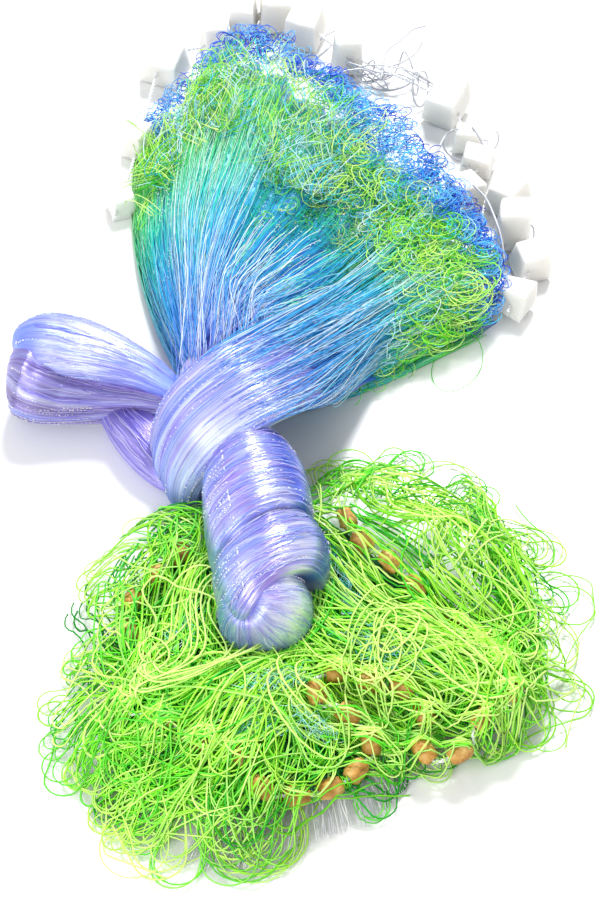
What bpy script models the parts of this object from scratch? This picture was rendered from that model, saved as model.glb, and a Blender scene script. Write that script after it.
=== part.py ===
"""A gill net put away in a half hitch: fine netting, coarse netting, floats and sinkers.

The net lies on a flat surface at z = 0.  +X points right, +Y points to the float end and
+Z points up, all in metres.  The fine netting is gathered at the neck, wound into a short
thick shank and opened out into a fan.  The coarse netting edges the fan, with a heavier
selvedge and the head rope with its floats outside it.  The other end of the net lies in a
heap under the shank, with the foot rope and its clay sinkers in it.
"""
import bpy
import bmesh
import numpy as np
from mathutils import Matrix, Vector

# ---------------------------------------------------------------- driving dimensions
GAP = 0.0003                 # clearance between pieces that touch
ORIGIN_SHIFT = (0.0019, -0.0191, 0.0)   # puts the origin under the middle of the net's box
FLOOR_BLOCK_PLAN = (1.0, 1.2)           # block that cuts undersides flat
FLOOR_BLOCK_DEPTH = 0.1

NECK = (-0.066, -0.023)      # plan position where the fan is gathered
FAN_START = 0.10             # the fan's solid begins at this share of each ray
FAN_BOW_LEFT = 24.0          # degrees that the left-hand rays bow outwards near the neck
FAN_BOW_RIGHT = -56.0        # and the right-hand rays, which straighten sooner
FAN_COLUMNS = 36
FAN_CORE_ROWS = 10
FAN_STATIONS = (0.10, 0.28, 0.52, 0.78, 0.93, 1.0)   # where the heights below are reached
FAN_NECK_HEIGHT = 0.068
FAN_SHOULDER = 0.056
FAN_FALL = 0.75              # height between the crest and the rim, as a share of the crest's
FLANK_SHARE = 0.36           # share of its height that a flank of the fan keeps
FLANK_POWER = 7              # how late the flanks fall: a high power falls close to the edge
FLANK_FADE = 0.15            # last share of each ray, where the flanks end in the even rim
PLEATS = 9                   # main folds across the fan
PLEAT_DEPTH = 0.004          # half the height of a fold where the folds are highest
FAN_SUNK = 0.004             # the core is made this far through the surface, then cut flat
COARSE_ROWS = 7
SELVEDGE_ROWS = 5

HEAP_CENTRE = (0.010, -0.250)
HEAP_WALL = 0.009            # height of the heap's outer edge
HEAP_BASE = 0.025            # height of the heap where no bundle lies on it
HEAP_SPOKES = 48
HEAP_RINGS = 12
HEAP_RING_POWER = 0.85       # below 1, it sets the rings closer together near the edge

ROPE_RADIUS = 0.0015
ROPE_SIDES = 2               # bevel resolution, eight sides
PASSAGE_RADIUS = 0.0025      # the hole that a rope runs through
PASSAGE_SIDES = 1            # bevel resolution, six sides
FLOAT_EDGE = 0.0016          # broken edges of the foam floats
POCKET_CLEARANCE = 0.0004    # room round a float or a sinker in the netting
SINKER_LENGTH = 0.0165
SINKER_RADIUS = 0.0066
SINKER_SIDES = 8
POCKET_SIDES = 6             # a sinker's pocket in the netting is a six-sided prism
ROPE_LIFT = 0.0027           # height of the foot rope's middle over the heap's top
SETTLING_PASSES = 3          # times that the sinkers are raised until their rope clears
SINKER_LEAD = 0.0009         # the rope runs straight this far beyond each end of a sinker
BARREL_PROFILE = [
    # share of length, share of radius
    (-0.5, 0.62), (-0.2, 1.0), (0.2, 1.0), (0.5, 0.62),
]
PRISM_PROFILE = [(-0.5, 1.0), (0.5, 1.0)]
HEAD_ROPE_STRAIGHT = 0.011   # half the straight stretch inside a float
HEAD_ROPE_END = 0.018        # length of the rope beyond the first and the last float
FOOT_ROPE_END = 0.012        # and beyond the first and the last sinker
ROPE_BULGE = 0.125           # how far a free stretch bows, as a share of its length
BLOCK_TAPER = 0.86           # size of a float's top face against its bottom face
BLOCK_LEAN = 0.05            # share of the width that the top face is set aside

# Rays of the fan, from its left flank to its right: the azimuth that each ray ends on,
# how far it reaches from the neck, the shares of the ray where the coarse netting and
# the selvedge start, and the heights of the hollow, of the crest behind it and of the rim.
FAN_RAYS = [
    # azimuth, reach, coarse_from, selvedge_from, hollow, crest, rim
    (95.0, 0.418, 0.42, 0.62, 0.026, 0.028, 0.013),
    (91.0, 0.446, 0.56, 0.78, 0.036, 0.038, 0.014),
    (86.0, 0.478, 0.60, 0.84, 0.038, 0.046, 0.014),
    (75.0, 0.434, 0.60, 0.84, 0.034, 0.048, 0.014),
    (60.0, 0.402, 0.58, 0.83, 0.031, 0.046, 0.014),
    (50.0, 0.352, 0.58, 0.82, 0.032, 0.046, 0.014),
    (38.0, 0.318, 0.60, 0.83, 0.034, 0.044, 0.014),
    (31.0, 0.306, 0.62, 0.84, 0.032, 0.040, 0.014),
    (22.0, 0.262, 0.64, 0.86, 0.026, 0.032, 0.012),
]

# Outline of the heap round its centre, and the bundles that give it its shape.
HEAP_OUTLINE = [
    # azimuth, reach
    (-180.0, 0.162), (-160.0, 0.180), (-148.0, 0.202), (-135.0, 0.201), (-118.0, 0.187),
    (-103.0, 0.182), (-88.0, 0.138), (-70.0, 0.122), (-52.0, 0.118), (-34.0, 0.150),
    (-18.0, 0.190), (0.0, 0.180), (16.0, 0.200), (34.0, 0.207), (56.0, 0.198),
    (72.0, 0.194), (90.0, 0.150), (108.0, 0.140), (124.0, 0.160), (150.0, 0.167),
]
HEAP_BUNDLES = [
    # x, y, rise, half_length, half_width, turn (degrees from +X)
    (-0.100, -0.152, 0.018, 0.045, 0.020, 28.0),      # arc over the left lobe
    (-0.136, -0.208, 0.018, 0.048, 0.020, 78.0),      # and down its outer side
    (-0.086, -0.215, -0.008, 0.030, 0.024, 60.0),     # hollow inside the arc
    (-0.095, -0.312, 0.020, 0.080, 0.024, 25.0),      # swathe to the front left
    (-0.030, -0.360, 0.014, 0.050, 0.030, 70.0),
    (-0.004, -0.300, 0.016, 0.045, 0.034, 0.0),       # spreading from the shank's end
    (0.112, -0.276, 0.025, 0.080, 0.028, -33.0),      # swathe to the front right
    (0.122, -0.226, -0.010, 0.050, 0.014, -12.0),     # valley between the two right swathes
    (0.100, -0.168, 0.027, 0.085, 0.036, 4.0),        # swathe to the right
    (0.078, -0.105, 0.014, 0.045, 0.024, 15.0),
    (0.050, -0.330, -0.006, 0.030, 0.020, 10.0),      # bay where the sinkers gather
]

# Wound bundles of the fine netting.  Each row is one section of the bundle.
SHANK = [
    # x, y, z, half_width, half_height
    (-0.071, 0.004, 0.030, 0.026, 0.026),
    (-0.063, -0.020, 0.038, 0.036, 0.038),
    (-0.050, -0.055, 0.042, 0.042, 0.043),
    (-0.032, -0.100, 0.043, 0.041, 0.044),
    (-0.022, -0.135, 0.043, 0.042, 0.046),
    (-0.016, -0.170, 0.043, 0.042, 0.044),
    (-0.013, -0.205, 0.043, 0.043, 0.046),
    (-0.011, -0.232, 0.041, 0.039, 0.043),
    (-0.011, -0.251, 0.037, 0.028, 0.031),
    (-0.011, -0.261, 0.034, 0.010, 0.012),
]
SHANK_ACROSS = (1.0, 0.2, 0.0)      # direction that the section's width is measured in
SHANK_RINGS = 30
SHANK_SIDES = 22
SHANK_RADIUS = 0.044
SHANK_CREASES = [
    # y, depth, half_width, lean (how far the crease drops to the left, per metre across)
    (-0.103, 0.0035, 0.006, 0.10),
    (-0.183, 0.0050, 0.006, 0.42),
    (-0.229, 0.0040, 0.005, 0.42),
]
BIGHT = [
    # x, y, z, half_width, half_height
    (-0.070, -0.035, 0.036, 0.016, 0.018),
    (-0.098, -0.018, 0.037, 0.018, 0.020),
    (-0.120, -0.008, 0.037, 0.024, 0.025),
    (-0.148, -0.003, 0.036, 0.033, 0.033),
    (-0.176, -0.002, 0.036, 0.038, 0.037),
    (-0.196, -0.002, 0.036, 0.034, 0.034),
    (-0.208, -0.002, 0.035, 0.021, 0.022),
    (-0.213, -0.002, 0.035, 0.008, 0.009),
]
BIGHT_ACROSS = (0.0, 1.0, 0.0)
BIGHT_RINGS = 15
BIGHT_SIDES = 16
BIGHT_RADIUS = 0.032
BIGHT_GROOVE_ANGLE = 165.0     # degrees round the section where the two layers meet
BIGHT_GROOVE_SPREAD = 20.0     # degrees either side that the groove reaches
BIGHT_GROOVE_DEPTH = 0.005
UNDER_PASS = [
    # x, y, z, half_width, half_height
    (-0.140, -0.012, 0.016, 0.010, 0.010),
    (-0.124, -0.032, 0.014, 0.017, 0.015),
    (-0.106, -0.058, 0.014, 0.020, 0.017),
    (-0.090, -0.082, 0.012, 0.017, 0.014),
    (-0.078, -0.098, 0.010, 0.010, 0.010),
]
UNDER_PASS_ACROSS = (0.8, 0.5, 0.0)
UNDER_PASS_RINGS = 8
UNDER_PASS_SIDES = 12
HITCH = [
    # x, y, z, half_width, half_height
    (0.052, 0.022, 0.022, 0.034, 0.009),
    (0.022, -0.004, 0.050, 0.042, 0.013),
    (-0.016, -0.032, 0.078, 0.046, 0.014),
    (-0.054, -0.056, 0.080, 0.046, 0.015),
    (-0.084, -0.072, 0.052, 0.040, 0.016),
    (-0.094, -0.080, 0.016, 0.032, 0.014),
    (-0.090, -0.080, -0.006, 0.026, 0.010),
]
HITCH_ACROSS = (0.57, -0.82, 0.0)
HITCH_RINGS = 14
HITCH_SIDES = 16

# Floats along the head rope, from the left flank round to the right.
FLOATS = [
    # x, y, width, depth, height, yaw, roll (degrees)
    (-0.141, 0.205, 0.024, 0.020, 0.020, 20.0, 8.0),
    (-0.130, 0.280, 0.026, 0.022, 0.022, 60.0, -6.0),
    (-0.113, 0.378, 0.036, 0.034, 0.030, -24.0, 10.0),
    (-0.068, 0.418, 0.024, 0.022, 0.024, 12.0, -8.0),
    (-0.044, 0.444, 0.022, 0.028, 0.030, -10.0, 6.0),
    (-0.015, 0.452, 0.026, 0.026, 0.026, 8.0, -10.0),
    (0.012, 0.428, 0.028, 0.032, 0.032, -22.0, 12.0),
    (0.050, 0.396, 0.024, 0.026, 0.030, 4.0, -5.0),
    (0.134, 0.326, 0.028, 0.036, 0.028, -28.0, 12.0),
    (0.151, 0.285, 0.026, 0.020, 0.022, -6.0, -6.0),
    (0.158, 0.252, 0.027, 0.024, 0.026, -14.0, 10.0),
    (0.145, 0.214, 0.025, 0.025, 0.026, 24.0, -4.0),
    (0.181, 0.210, 0.026, 0.029, 0.028, -38.0, 10.0),
    (0.182, 0.168, 0.026, 0.028, 0.034, -6.0, -8.0),
    (0.194, 0.133, 0.026, 0.026, 0.028, 20.0, 6.0),
    (0.178, 0.092, 0.030, 0.030, 0.028, -36.0, -8.0),
]

# Plan positions of the sinkers along the foot rope, from the left lobe to the right one.
SINKERS = [
    # x, y
    (-0.077, -0.173), (-0.093, -0.190), (-0.108, -0.212), (-0.108, -0.238),
    (-0.093, -0.258), (-0.091, -0.284), (-0.107, -0.305), (-0.081, -0.320),
    (-0.054, -0.331), (-0.030, -0.343), (-0.016, -0.365), (0.006, -0.366),
    (0.027, -0.358), (0.044, -0.344), (0.054, -0.324), (0.039, -0.308),
    (0.019, -0.297), (0.032, -0.278), (0.055, -0.284), (0.076, -0.289),
    (0.089, -0.306), (0.089, -0.329), (0.112, -0.330), (0.127, -0.312),
    (0.147, -0.296), (0.140, -0.272), (0.131, -0.249), (0.1125, -0.236),
    (0.091, -0.232), (0.086, -0.209), (0.070, -0.192), (0.051, -0.177),
    (0.041, -0.153),
]


# ---------------------------------------------------------------- general helpers
def remove_everything():
    """Empty the scene before the net is made."""
    for thing in list(bpy.data.objects):
        bpy.data.objects.remove(thing, do_unlink=True)


def column(rows, index):
    """One named column of a table, as an array."""
    return np.array([row[index] for row in rows], dtype=float)


def smooth_through(positions, values, at):
    """Cubic Hermite curve through (positions, values), with mean slopes at the rows."""
    positions = np.asarray(positions, dtype=float)
    values = np.asarray(values, dtype=float)
    at = np.asarray(at, dtype=float)
    steps = np.diff(positions)
    rises = np.diff(values) / steps
    slopes = np.concatenate([rises[:1], (rises[:-1] + rises[1:]) / 2, rises[-1:]])
    here = np.clip(np.searchsorted(positions, at) - 1, 0, len(steps) - 1)
    span = steps[here]
    share = np.clip((at - positions[here]) / span, 0.0, 1.0)
    return (values[here] * (2 * share**3 - 3 * share**2 + 1)
            + slopes[here] * span * (share**3 - 2 * share**2 + share)
            + values[here + 1] * (3 * share**2 - 2 * share**3)
            + slopes[here + 1] * span * (share**3 - share**2))


def unit(vectors):
    """The same directions with length 1."""
    return vectors / np.linalg.norm(vectors, axis=-1, keepdims=True)


def finish(colour_name, colour, roughness, metallic=0.0):
    """A plain material for one kind of piece."""
    material = bpy.data.materials.new(colour_name)
    material.use_nodes = True
    shader = material.node_tree.nodes["Principled BSDF"]
    shader.inputs["Base Color"].default_value = (*colour, 1.0)
    shader.inputs["Roughness"].default_value = roughness
    shader.inputs["Metallic"].default_value = metallic
    material.diffuse_color = (*colour, 1.0)
    return material


def closed_mesh(name, points, faces):
    """A mesh from points and faces, with its faces turned outwards."""
    mesh = bpy.data.meshes.new(name)
    mesh.from_pydata([tuple(point) for point in points], [], faces)
    work = bmesh.new()
    work.from_mesh(mesh)
    bmesh.ops.recalc_face_normals(work, faces=work.faces)
    work.to_mesh(mesh)
    work.free()
    return mesh


def place(name, data, parent, material=None, at=(0, 0, 0)):
    """An object for one sub-part, parented to the net's origin."""
    thing = bpy.data.objects.new(name, data)
    thing.location = at
    thing.parent = parent
    if material is not None and not data.materials:
        data.materials.append(material)
    bpy.context.scene.collection.objects.link(thing)
    return thing


def as_cutter(thing):
    """Mark an object as a helper that is no piece of the net."""
    thing.hide_render = True
    thing.display_type = "WIRE"
    return thing


def combine(thing, other, operation, crossing=False):
    """Join or cut a piece with another object, whose own shells may cross each other."""
    step = thing.modifiers.new(f"{operation.lower()}_{other.name}", "BOOLEAN")
    step.operation = operation
    step.object = other
    step.use_self = crossing


def smooth_shading(mesh, angle=40.0):
    """Shade a mesh smooth, except over edges sharper than the angle."""
    mesh.shade_smooth()
    mesh.set_sharp_from_angle(angle=np.radians(angle))


# ---------------------------------------------------------------- wound bundles
def tube_faces(rings, sides):
    """Quads along a tube of rings, and one face on each end."""
    faces = []
    for ring in range(rings - 1):
        for side in range(sides):
            here = ring * sides + side
            beside = ring * sides + (side + 1) % sides
            faces.append((here, beside, beside + sides, here + sides))
    faces.append(tuple(range(sides)))
    faces.append(tuple(range((rings - 1) * sides, rings * sides)))
    return faces


def bundle(name, rows, across, rings, sides, pinch=None, grow=0.0):
    """Carry an ellipse along the rows' centres.

    Pinch makes it smaller at a crease, and grow makes it larger on every side.
    """
    centres = np.array([row[:3] for row in rows])
    travel = np.concatenate([[0.0], np.cumsum(np.linalg.norm(np.diff(centres, axis=0), axis=1))])
    at = np.linspace(0.0, travel[-1], rings)
    path = np.stack([smooth_through(travel, centres[:, axis], at) for axis in range(3)], axis=1)
    half_width = smooth_through(travel, column(rows, 3), at)[:, None, None] + grow
    half_height = smooth_through(travel, column(rows, 4), at)[:, None, None] + grow
    ahead = unit(np.gradient(path, axis=0))
    path[0] -= ahead[0] * grow
    path[-1] += ahead[-1] * grow
    across = np.asarray(across, dtype=float)
    sideways = unit(across - ahead * (ahead @ across)[:, None])
    upwards = np.cross(sideways, ahead)
    angle = np.linspace(0.0, 2 * np.pi, sides, endpoint=False)[None, :, None]
    spokes = (sideways[:, None, :] * half_width * np.cos(angle)
              + upwards[:, None, :] * half_height * np.sin(angle))
    if pinch is not None:
        spokes *= pinch(path[:, None, :] + spokes, angle)[..., None]
    points = (path[:, None, :] + spokes).reshape(-1, 3)
    mesh = closed_mesh(name, points, tube_faces(rings, sides))
    smooth_shading(mesh)
    return mesh


def shank_creases(points, _angle):
    """Share of the radius left at the creases between the shank's wound turns."""
    left = np.ones(points.shape[:2])
    for crease_y, depth, half_width, lean in SHANK_CREASES:
        middle_x = np.interp(crease_y, column(SHANK, 1)[::-1], column(SHANK, 0)[::-1])
        away = (points[..., 1] - crease_y - lean * (points[..., 0] - middle_x)) / half_width
        left -= depth / SHANK_RADIUS * np.exp(-away**2)
    return left


def bight_groove(points, angle):
    """Share of the radius left in the groove between the two layers of the bight."""
    away = (np.degrees(angle[..., 0]) - BIGHT_GROOVE_ANGLE) / BIGHT_GROOVE_SPREAD
    left = 1.0 - BIGHT_GROOVE_DEPTH / BIGHT_RADIUS * np.exp(-away**2)
    return np.broadcast_to(left, points.shape[:2])


# ---------------------------------------------------------------- fan
def fan_row(share, index):
    """A column of FAN_RAYS at a share of the way from the left flank to the right."""
    azimuths = column(FAN_RAYS, 0)
    positions = (azimuths[0] - azimuths) / (azimuths[0] - azimuths[-1])
    return smooth_through(positions, column(FAN_RAYS, index), share)


def fan_plan(share, along):
    """Plan position on a ray: it bows outwards near the neck and ends at its reach."""
    azimuth = FAN_RAYS[0][0] + share * (FAN_RAYS[-1][0] - FAN_RAYS[0][0])
    bow = FAN_BOW_LEFT + share * (FAN_BOW_RIGHT - FAN_BOW_LEFT)
    angle = np.radians(azimuth + bow * (1.0 - along) ** (1.0 + share))
    distance = fan_row(share, 1) * along
    return NECK[0] + distance * np.cos(angle), NECK[1] + distance * np.sin(angle)


def fan_height(share, along):
    """Height of the fan: high at the neck, hollow in the middle, a crest, then the rim."""
    share = np.asarray(share, dtype=float)
    flank = np.abs(2.0 * share - 1.0)
    hollow = fan_row(share, 4)
    crest = fan_row(share, 5)
    rim = fan_row(share, 6)
    shoulder = np.full_like(share, FAN_SHOULDER)
    neck = np.full_like(share, FAN_NECK_HEIGHT)
    heights = np.stack([neck, shoulder, hollow, crest, FAN_FALL * crest, rim])
    stations = np.array(FAN_STATIONS)
    here = np.array([smooth_through(stations, heights[:, k], along[k]) for k in range(len(share))])
    pleat = PLEAT_DEPTH * np.cos(2 * np.pi * PLEATS * share) * 2.0 * (1.0 - along) * along**0.5
    rounded = FLANK_SHARE + (1.0 - FLANK_SHARE) * (1.0 - flank**FLANK_POWER)
    fade = np.clip(1.0 - (1.0 - along) / FLANK_FADE, 0.0, 1.0)
    return (here + pleat) * (rounded + (1.0 - rounded) * fade)


def fan_zone(name, inner, outer, rows, bottom):
    """A closed solid of the fan between two shares of each ray, flat underneath."""
    shares = np.linspace(0.0, 1.0, FAN_COLUMNS)
    top = np.empty((rows, FAN_COLUMNS, 3))
    for row in range(rows):
        along = inner(shares) + (outer(shares) - inner(shares)) * row / (rows - 1)
        top[row, :, 0], top[row, :, 1] = fan_plan(shares, along)
        top[row, :, 2] = fan_height(shares, along)
    index = np.arange(rows * FAN_COLUMNS).reshape(rows, FAN_COLUMNS)
    faces = []
    for row in range(rows - 1):
        for col in range(FAN_COLUMNS - 1):
            faces.append((index[row, col], index[row, col + 1],
                          index[row + 1, col + 1], index[row + 1, col]))
    border = np.concatenate([index[0, :], index[1:, -1], index[-1, -2::-1], index[-2:0:-1, 0]])
    points = top.reshape(-1, 3)
    under = points[border].copy()
    under[:, 2] = bottom
    first = len(points)
    count = len(border)
    for step in range(count):
        following = (step + 1) % count
        faces.append((border[step], border[following], first + following, first + step))
    faces.append(tuple(range(first, first + count)))
    faces = [tuple(int(corner) for corner in face) for face in faces]
    mesh = closed_mesh(name, np.concatenate([points, under]), faces)
    smooth_shading(mesh)
    return mesh


def zone_edge(index, offset):
    """The share of a ray where a zone ends, moved by half the gap between two zones."""
    return lambda share: fan_row(share, index) + offset / fan_row(share, 1)


# ---------------------------------------------------------------- heap
def heap_reach(azimuth):
    """Distance from the heap's centre to its edge, for azimuths in degrees."""
    angles = column(HEAP_OUTLINE, 0)
    reaches = column(HEAP_OUTLINE, 1)
    around = np.concatenate([angles[-2:] - 360.0, angles, angles[:2] + 360.0])
    values = np.concatenate([reaches[-2:], reaches, reaches[:2]])
    return smooth_through(around, values, (azimuth + 180.0) % 360.0 - 180.0)


def heap_height(x, y):
    """Height of the heap over a plan position: its bundles on a base that falls at the edge."""
    away_x = x - HEAP_CENTRE[0]
    away_y = y - HEAP_CENTRE[1]
    share = np.hypot(away_x, away_y) / heap_reach(np.degrees(np.arctan2(away_y, away_x)))
    share = np.clip(share, 0.0, 1.0)
    height = np.full_like(share, HEAP_BASE)
    for centre_x, centre_y, rise, half_length, half_width, turn in HEAP_BUNDLES:
        cosine = np.cos(np.radians(turn))
        sine = np.sin(np.radians(turn))
        ahead = ((x - centre_x) * cosine + (y - centre_y) * sine) / half_length
        aside = ((y - centre_y) * cosine - (x - centre_x) * sine) / half_width
        height = height + rise * np.exp(-(ahead**2 + aside**2))
    return HEAP_WALL + (height - HEAP_WALL) * np.sqrt(1.0 - share**4)


def heap_mesh(name):
    """A closed solid of the heap on rings round its centre, flat underneath."""
    azimuths = np.linspace(-180.0, 180.0, HEAP_SPOKES, endpoint=False)
    reach = heap_reach(azimuths)
    shares = np.linspace(0.0, 1.0, HEAP_RINGS + 1)[1:] ** HEAP_RING_POWER
    x = HEAP_CENTRE[0] + np.outer(shares, reach * np.cos(np.radians(azimuths)))
    y = HEAP_CENTRE[1] + np.outer(shares, reach * np.sin(np.radians(azimuths)))
    top = np.stack([x, y, heap_height(x, y)], axis=-1).reshape(-1, 3)
    middle = np.array([[*HEAP_CENTRE, heap_height(*np.array(HEAP_CENTRE))]])
    under = top[-HEAP_SPOKES:].copy()
    under[:, 2] = 0.0
    faces = []
    for spoke in range(HEAP_SPOKES):
        beside = (spoke + 1) % HEAP_SPOKES
        faces.append((0, 1 + spoke, 1 + beside))
        for ring in range(HEAP_RINGS):
            here = 1 + ring * HEAP_SPOKES
            faces.append((here + spoke, here + beside,
                          here + beside + HEAP_SPOKES, here + spoke + HEAP_SPOKES))
    first = 1 + HEAP_RINGS * HEAP_SPOKES
    faces.append(tuple(range(first, first + HEAP_SPOKES)))
    mesh = closed_mesh(name, np.concatenate([middle, top, under]), faces)
    smooth_shading(mesh)
    return mesh


# ---------------------------------------------------------------- ropes, floats, sinkers
def threaded_path(centres, half_lengths, tail):
    """Rope points: straight through each piece, one smooth point between two pieces."""
    centres = np.asarray(centres)
    beyond = np.concatenate([centres[:1], centres, centres[-1:]])
    ahead = unit(beyond[2:] - beyond[:-2])
    before = centres - ahead * half_lengths
    after = centres + ahead * half_lengths
    points = [before[0] - ahead[0] * tail]
    for piece in range(len(centres)):
        points += [before[piece], after[piece]]
        if piece + 1 < len(centres):
            free = np.linalg.norm(before[piece + 1] - after[piece])
            bulge = (ahead[piece] - ahead[piece + 1]) * free * ROPE_BULGE
            points.append((after[piece] + before[piece + 1]) / 2 + bulge)
    points.append(after[-1] + ahead[-1] * tail)
    return np.array(points), ahead


def rope(name, points, radius, resolution):
    """A round tube along the points, as a poly curve with filled caps."""
    curve = bpy.data.curves.new(name, "CURVE")
    curve.dimensions = "3D"
    curve.bevel_depth = radius
    curve.bevel_resolution = resolution
    curve.use_fill_caps = True
    spline = curve.splines.new("POLY")
    spline.points.add(len(points) - 1)
    for knot, point in zip(spline.points, points):
        knot.co = (*point, 1.0)
    return curve


def passage_mesh(name, points):
    """A closed tube mesh along a rope, for the hole that the rope runs through."""
    guide = bpy.data.objects.new(name, rope(name, points, PASSAGE_RADIUS, PASSAGE_SIDES))
    bpy.context.scene.collection.objects.link(guide)
    depsgraph = bpy.context.evaluated_depsgraph_get()
    mesh = bpy.data.meshes.new_from_object(guide.evaluated_get(depsgraph))
    bpy.data.objects.remove(guide, do_unlink=True)
    work = bmesh.new()
    work.from_mesh(mesh)
    bmesh.ops.remove_doubles(work, verts=work.verts, dist=0.00001)
    bmesh.ops.recalc_face_normals(work, faces=work.faces)
    work.to_mesh(mesh)
    work.free()
    return mesh


def line_room(name, rooms, parent):
    """One cutter of the rooms that the pieces of a line take in the netting."""
    work = bmesh.new()
    for mesh, matrix in rooms:
        first = len(work.verts)
        work.from_mesh(mesh)
        work.verts.ensure_lookup_table()
        bmesh.ops.transform(work, matrix=matrix, verts=work.verts[first:])
    mesh = bpy.data.meshes.new(name)
    work.to_mesh(mesh)
    work.free()
    return as_cutter(place(name, mesh, parent))


def block_mesh(name, width, depth, height, grow=0.0):
    """A hand-cut foam block: a box whose top is smaller and set a little aside."""
    mesh = bpy.data.meshes.new(name)
    work = bmesh.new()
    bmesh.ops.create_cube(work, size=1.0)
    for corner in work.verts:
        upper = corner.co.z > 0
        shrink = BLOCK_TAPER if upper else 1.0
        corner.co.x = corner.co.x * (width * shrink + 2 * grow) + (BLOCK_LEAN * width if upper else 0.0)
        corner.co.y = corner.co.y * (depth * shrink + 2 * grow)
        corner.co.z *= height + 2 * grow
    work.to_mesh(mesh)
    work.free()
    return mesh


def block_turn(yaw, roll):
    """Rotation of a float: rolled about its width, then turned about the vertical."""
    return Matrix.Rotation(np.radians(yaw), 3, "Z") @ Matrix.Rotation(np.radians(roll), 3, "X")


def resting_height(mesh, turn):
    """Height of a block's centre when its lowest corner is on the surface."""
    return -min((turn @ corner.co).z for corner in mesh.vertices)


def barrel_mesh(name, length, radius, sides, profile):
    """A turned clay barrel along X from rows of (share of length, share of radius)."""
    angle = np.linspace(0.0, 2 * np.pi, sides, endpoint=False)
    points = []
    for share, size in profile:
        ring = np.stack([np.full(sides, share * length),
                         size * radius * np.cos(angle), size * radius * np.sin(angle)], axis=1)
        points.append(ring)
    mesh = closed_mesh(name, np.concatenate(points), tube_faces(len(profile), sides))
    smooth_shading(mesh, 50.0)
    return mesh


# ---------------------------------------------------------------- the net
def floor_cutter(parent):
    """A block under the surface, for flat undersides."""
    mesh = bpy.data.meshes.new("floor_block")
    work = bmesh.new()
    bmesh.ops.create_cube(work, size=1.0)
    bmesh.ops.scale(work, vec=(*FLOOR_BLOCK_PLAN, FLOOR_BLOCK_DEPTH), verts=work.verts)
    work.to_mesh(mesh)
    work.free()
    return as_cutter(place("floor_block", mesh, parent, at=(0.0, 0.0, -FLOOR_BLOCK_DEPTH / 2)))


def fine_netting(parent, material):
    """The fine netting in one piece: fan, neck, wound shank, bight and hitch."""
    core = fan_zone("fine_netting", lambda share: np.full_like(share, FAN_START),
                    zone_edge(2, -GAP), FAN_CORE_ROWS, bottom=-FAN_SUNK)
    net = place("fine_netting", core, parent, material)
    shank = bundle("shank", SHANK, SHANK_ACROSS, SHANK_RINGS, SHANK_SIDES, shank_creases)
    bight = bundle("bight", BIGHT, BIGHT_ACROSS, BIGHT_RINGS, BIGHT_SIDES, bight_groove)
    under = bundle("under_pass", UNDER_PASS, UNDER_PASS_ACROSS, UNDER_PASS_RINGS, UNDER_PASS_SIDES)
    hitch = bundle("hitch", HITCH, HITCH_ACROSS, HITCH_RINGS, HITCH_SIDES)
    for mesh in (shank, bight, under, hitch):
        combine(net, as_cutter(place(mesh.name, mesh, parent)), "UNION")
    combine(net, floor_cutter(parent), "DIFFERENCE")
    return net


def shank_clearance(parent):
    """The shank's own form a little larger, to clear the heap round it."""
    mesh = bundle("shank_room", SHANK, SHANK_ACROSS, SHANK_RINGS, SHANK_SIDES, grow=2 * GAP)
    return as_cutter(place(mesh.name, mesh, parent))


def float_line(parent, foam, fibre):
    """The head rope through its floats, and a cutter for the room that they take."""
    centres = []
    blocks = []
    rooms = []
    for number, (x, y, width, depth, height, yaw, roll) in enumerate(FLOATS, start=1):
        mesh = block_mesh(f"float_{number:02d}", width, depth, height)
        turn = block_turn(yaw, roll)
        at = Vector((x, y, resting_height(mesh, turn)))
        block = place(mesh.name, mesh, parent, foam, at)
        block.rotation_euler = turn.to_euler()
        edge = block.modifiers.new("broken_edges", "BEVEL")
        edge.width = FLOAT_EDGE
        edge.segments = 1
        room = block_mesh(f"float_room_{number:02d}", width, depth, height, POCKET_CLEARANCE)
        centres.append(at)
        blocks.append(block)
        rooms.append((room, Matrix.Translation(at) @ turn.to_4x4()))
    points, _ahead = threaded_path(centres, HEAD_ROPE_STRAIGHT, HEAD_ROPE_END)
    place("head_rope", rope("head_rope", points, ROPE_RADIUS, ROPE_SIDES), parent, fibre)
    passage = passage_mesh("head_passage", points)
    hole = as_cutter(place("head_passage", passage, parent))
    for block in blocks:
        combine(block, hole, "DIFFERENCE")
    return line_room("float_line_room", [(passage, Matrix.Identity(4))] + rooms, parent)


def clear_of_heap(points):
    """How far rope points have to rise to lie ROPE_LIFT over the heap."""
    over = points[:, 2] - heap_height(points[:, 0], points[:, 1])
    return np.maximum(0.0, ROPE_LIFT - over)


def foot_rope_path():
    """The foot rope's points and each sinker's centre and direction, settled on the heap."""
    plan = np.array(SINKERS)
    centres = np.column_stack([plan, heap_height(plan[:, 0], plan[:, 1]) + ROPE_LIFT])
    straight = SINKER_LENGTH / 2 + SINKER_LEAD
    for _pass in range(SETTLING_PASSES):
        points, ahead = threaded_path(centres, straight, FOOT_ROPE_END)
        rise = clear_of_heap(points)
        centres[:, 2] += np.maximum(rise[1:-1:3], rise[2:-1:3])
    points, ahead = threaded_path(centres, straight, FOOT_ROPE_END)
    loose = np.r_[0, 3:len(points):3, len(points) - 1]
    points[loose, 2] += clear_of_heap(points[loose])
    return points, centres, ahead


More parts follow.
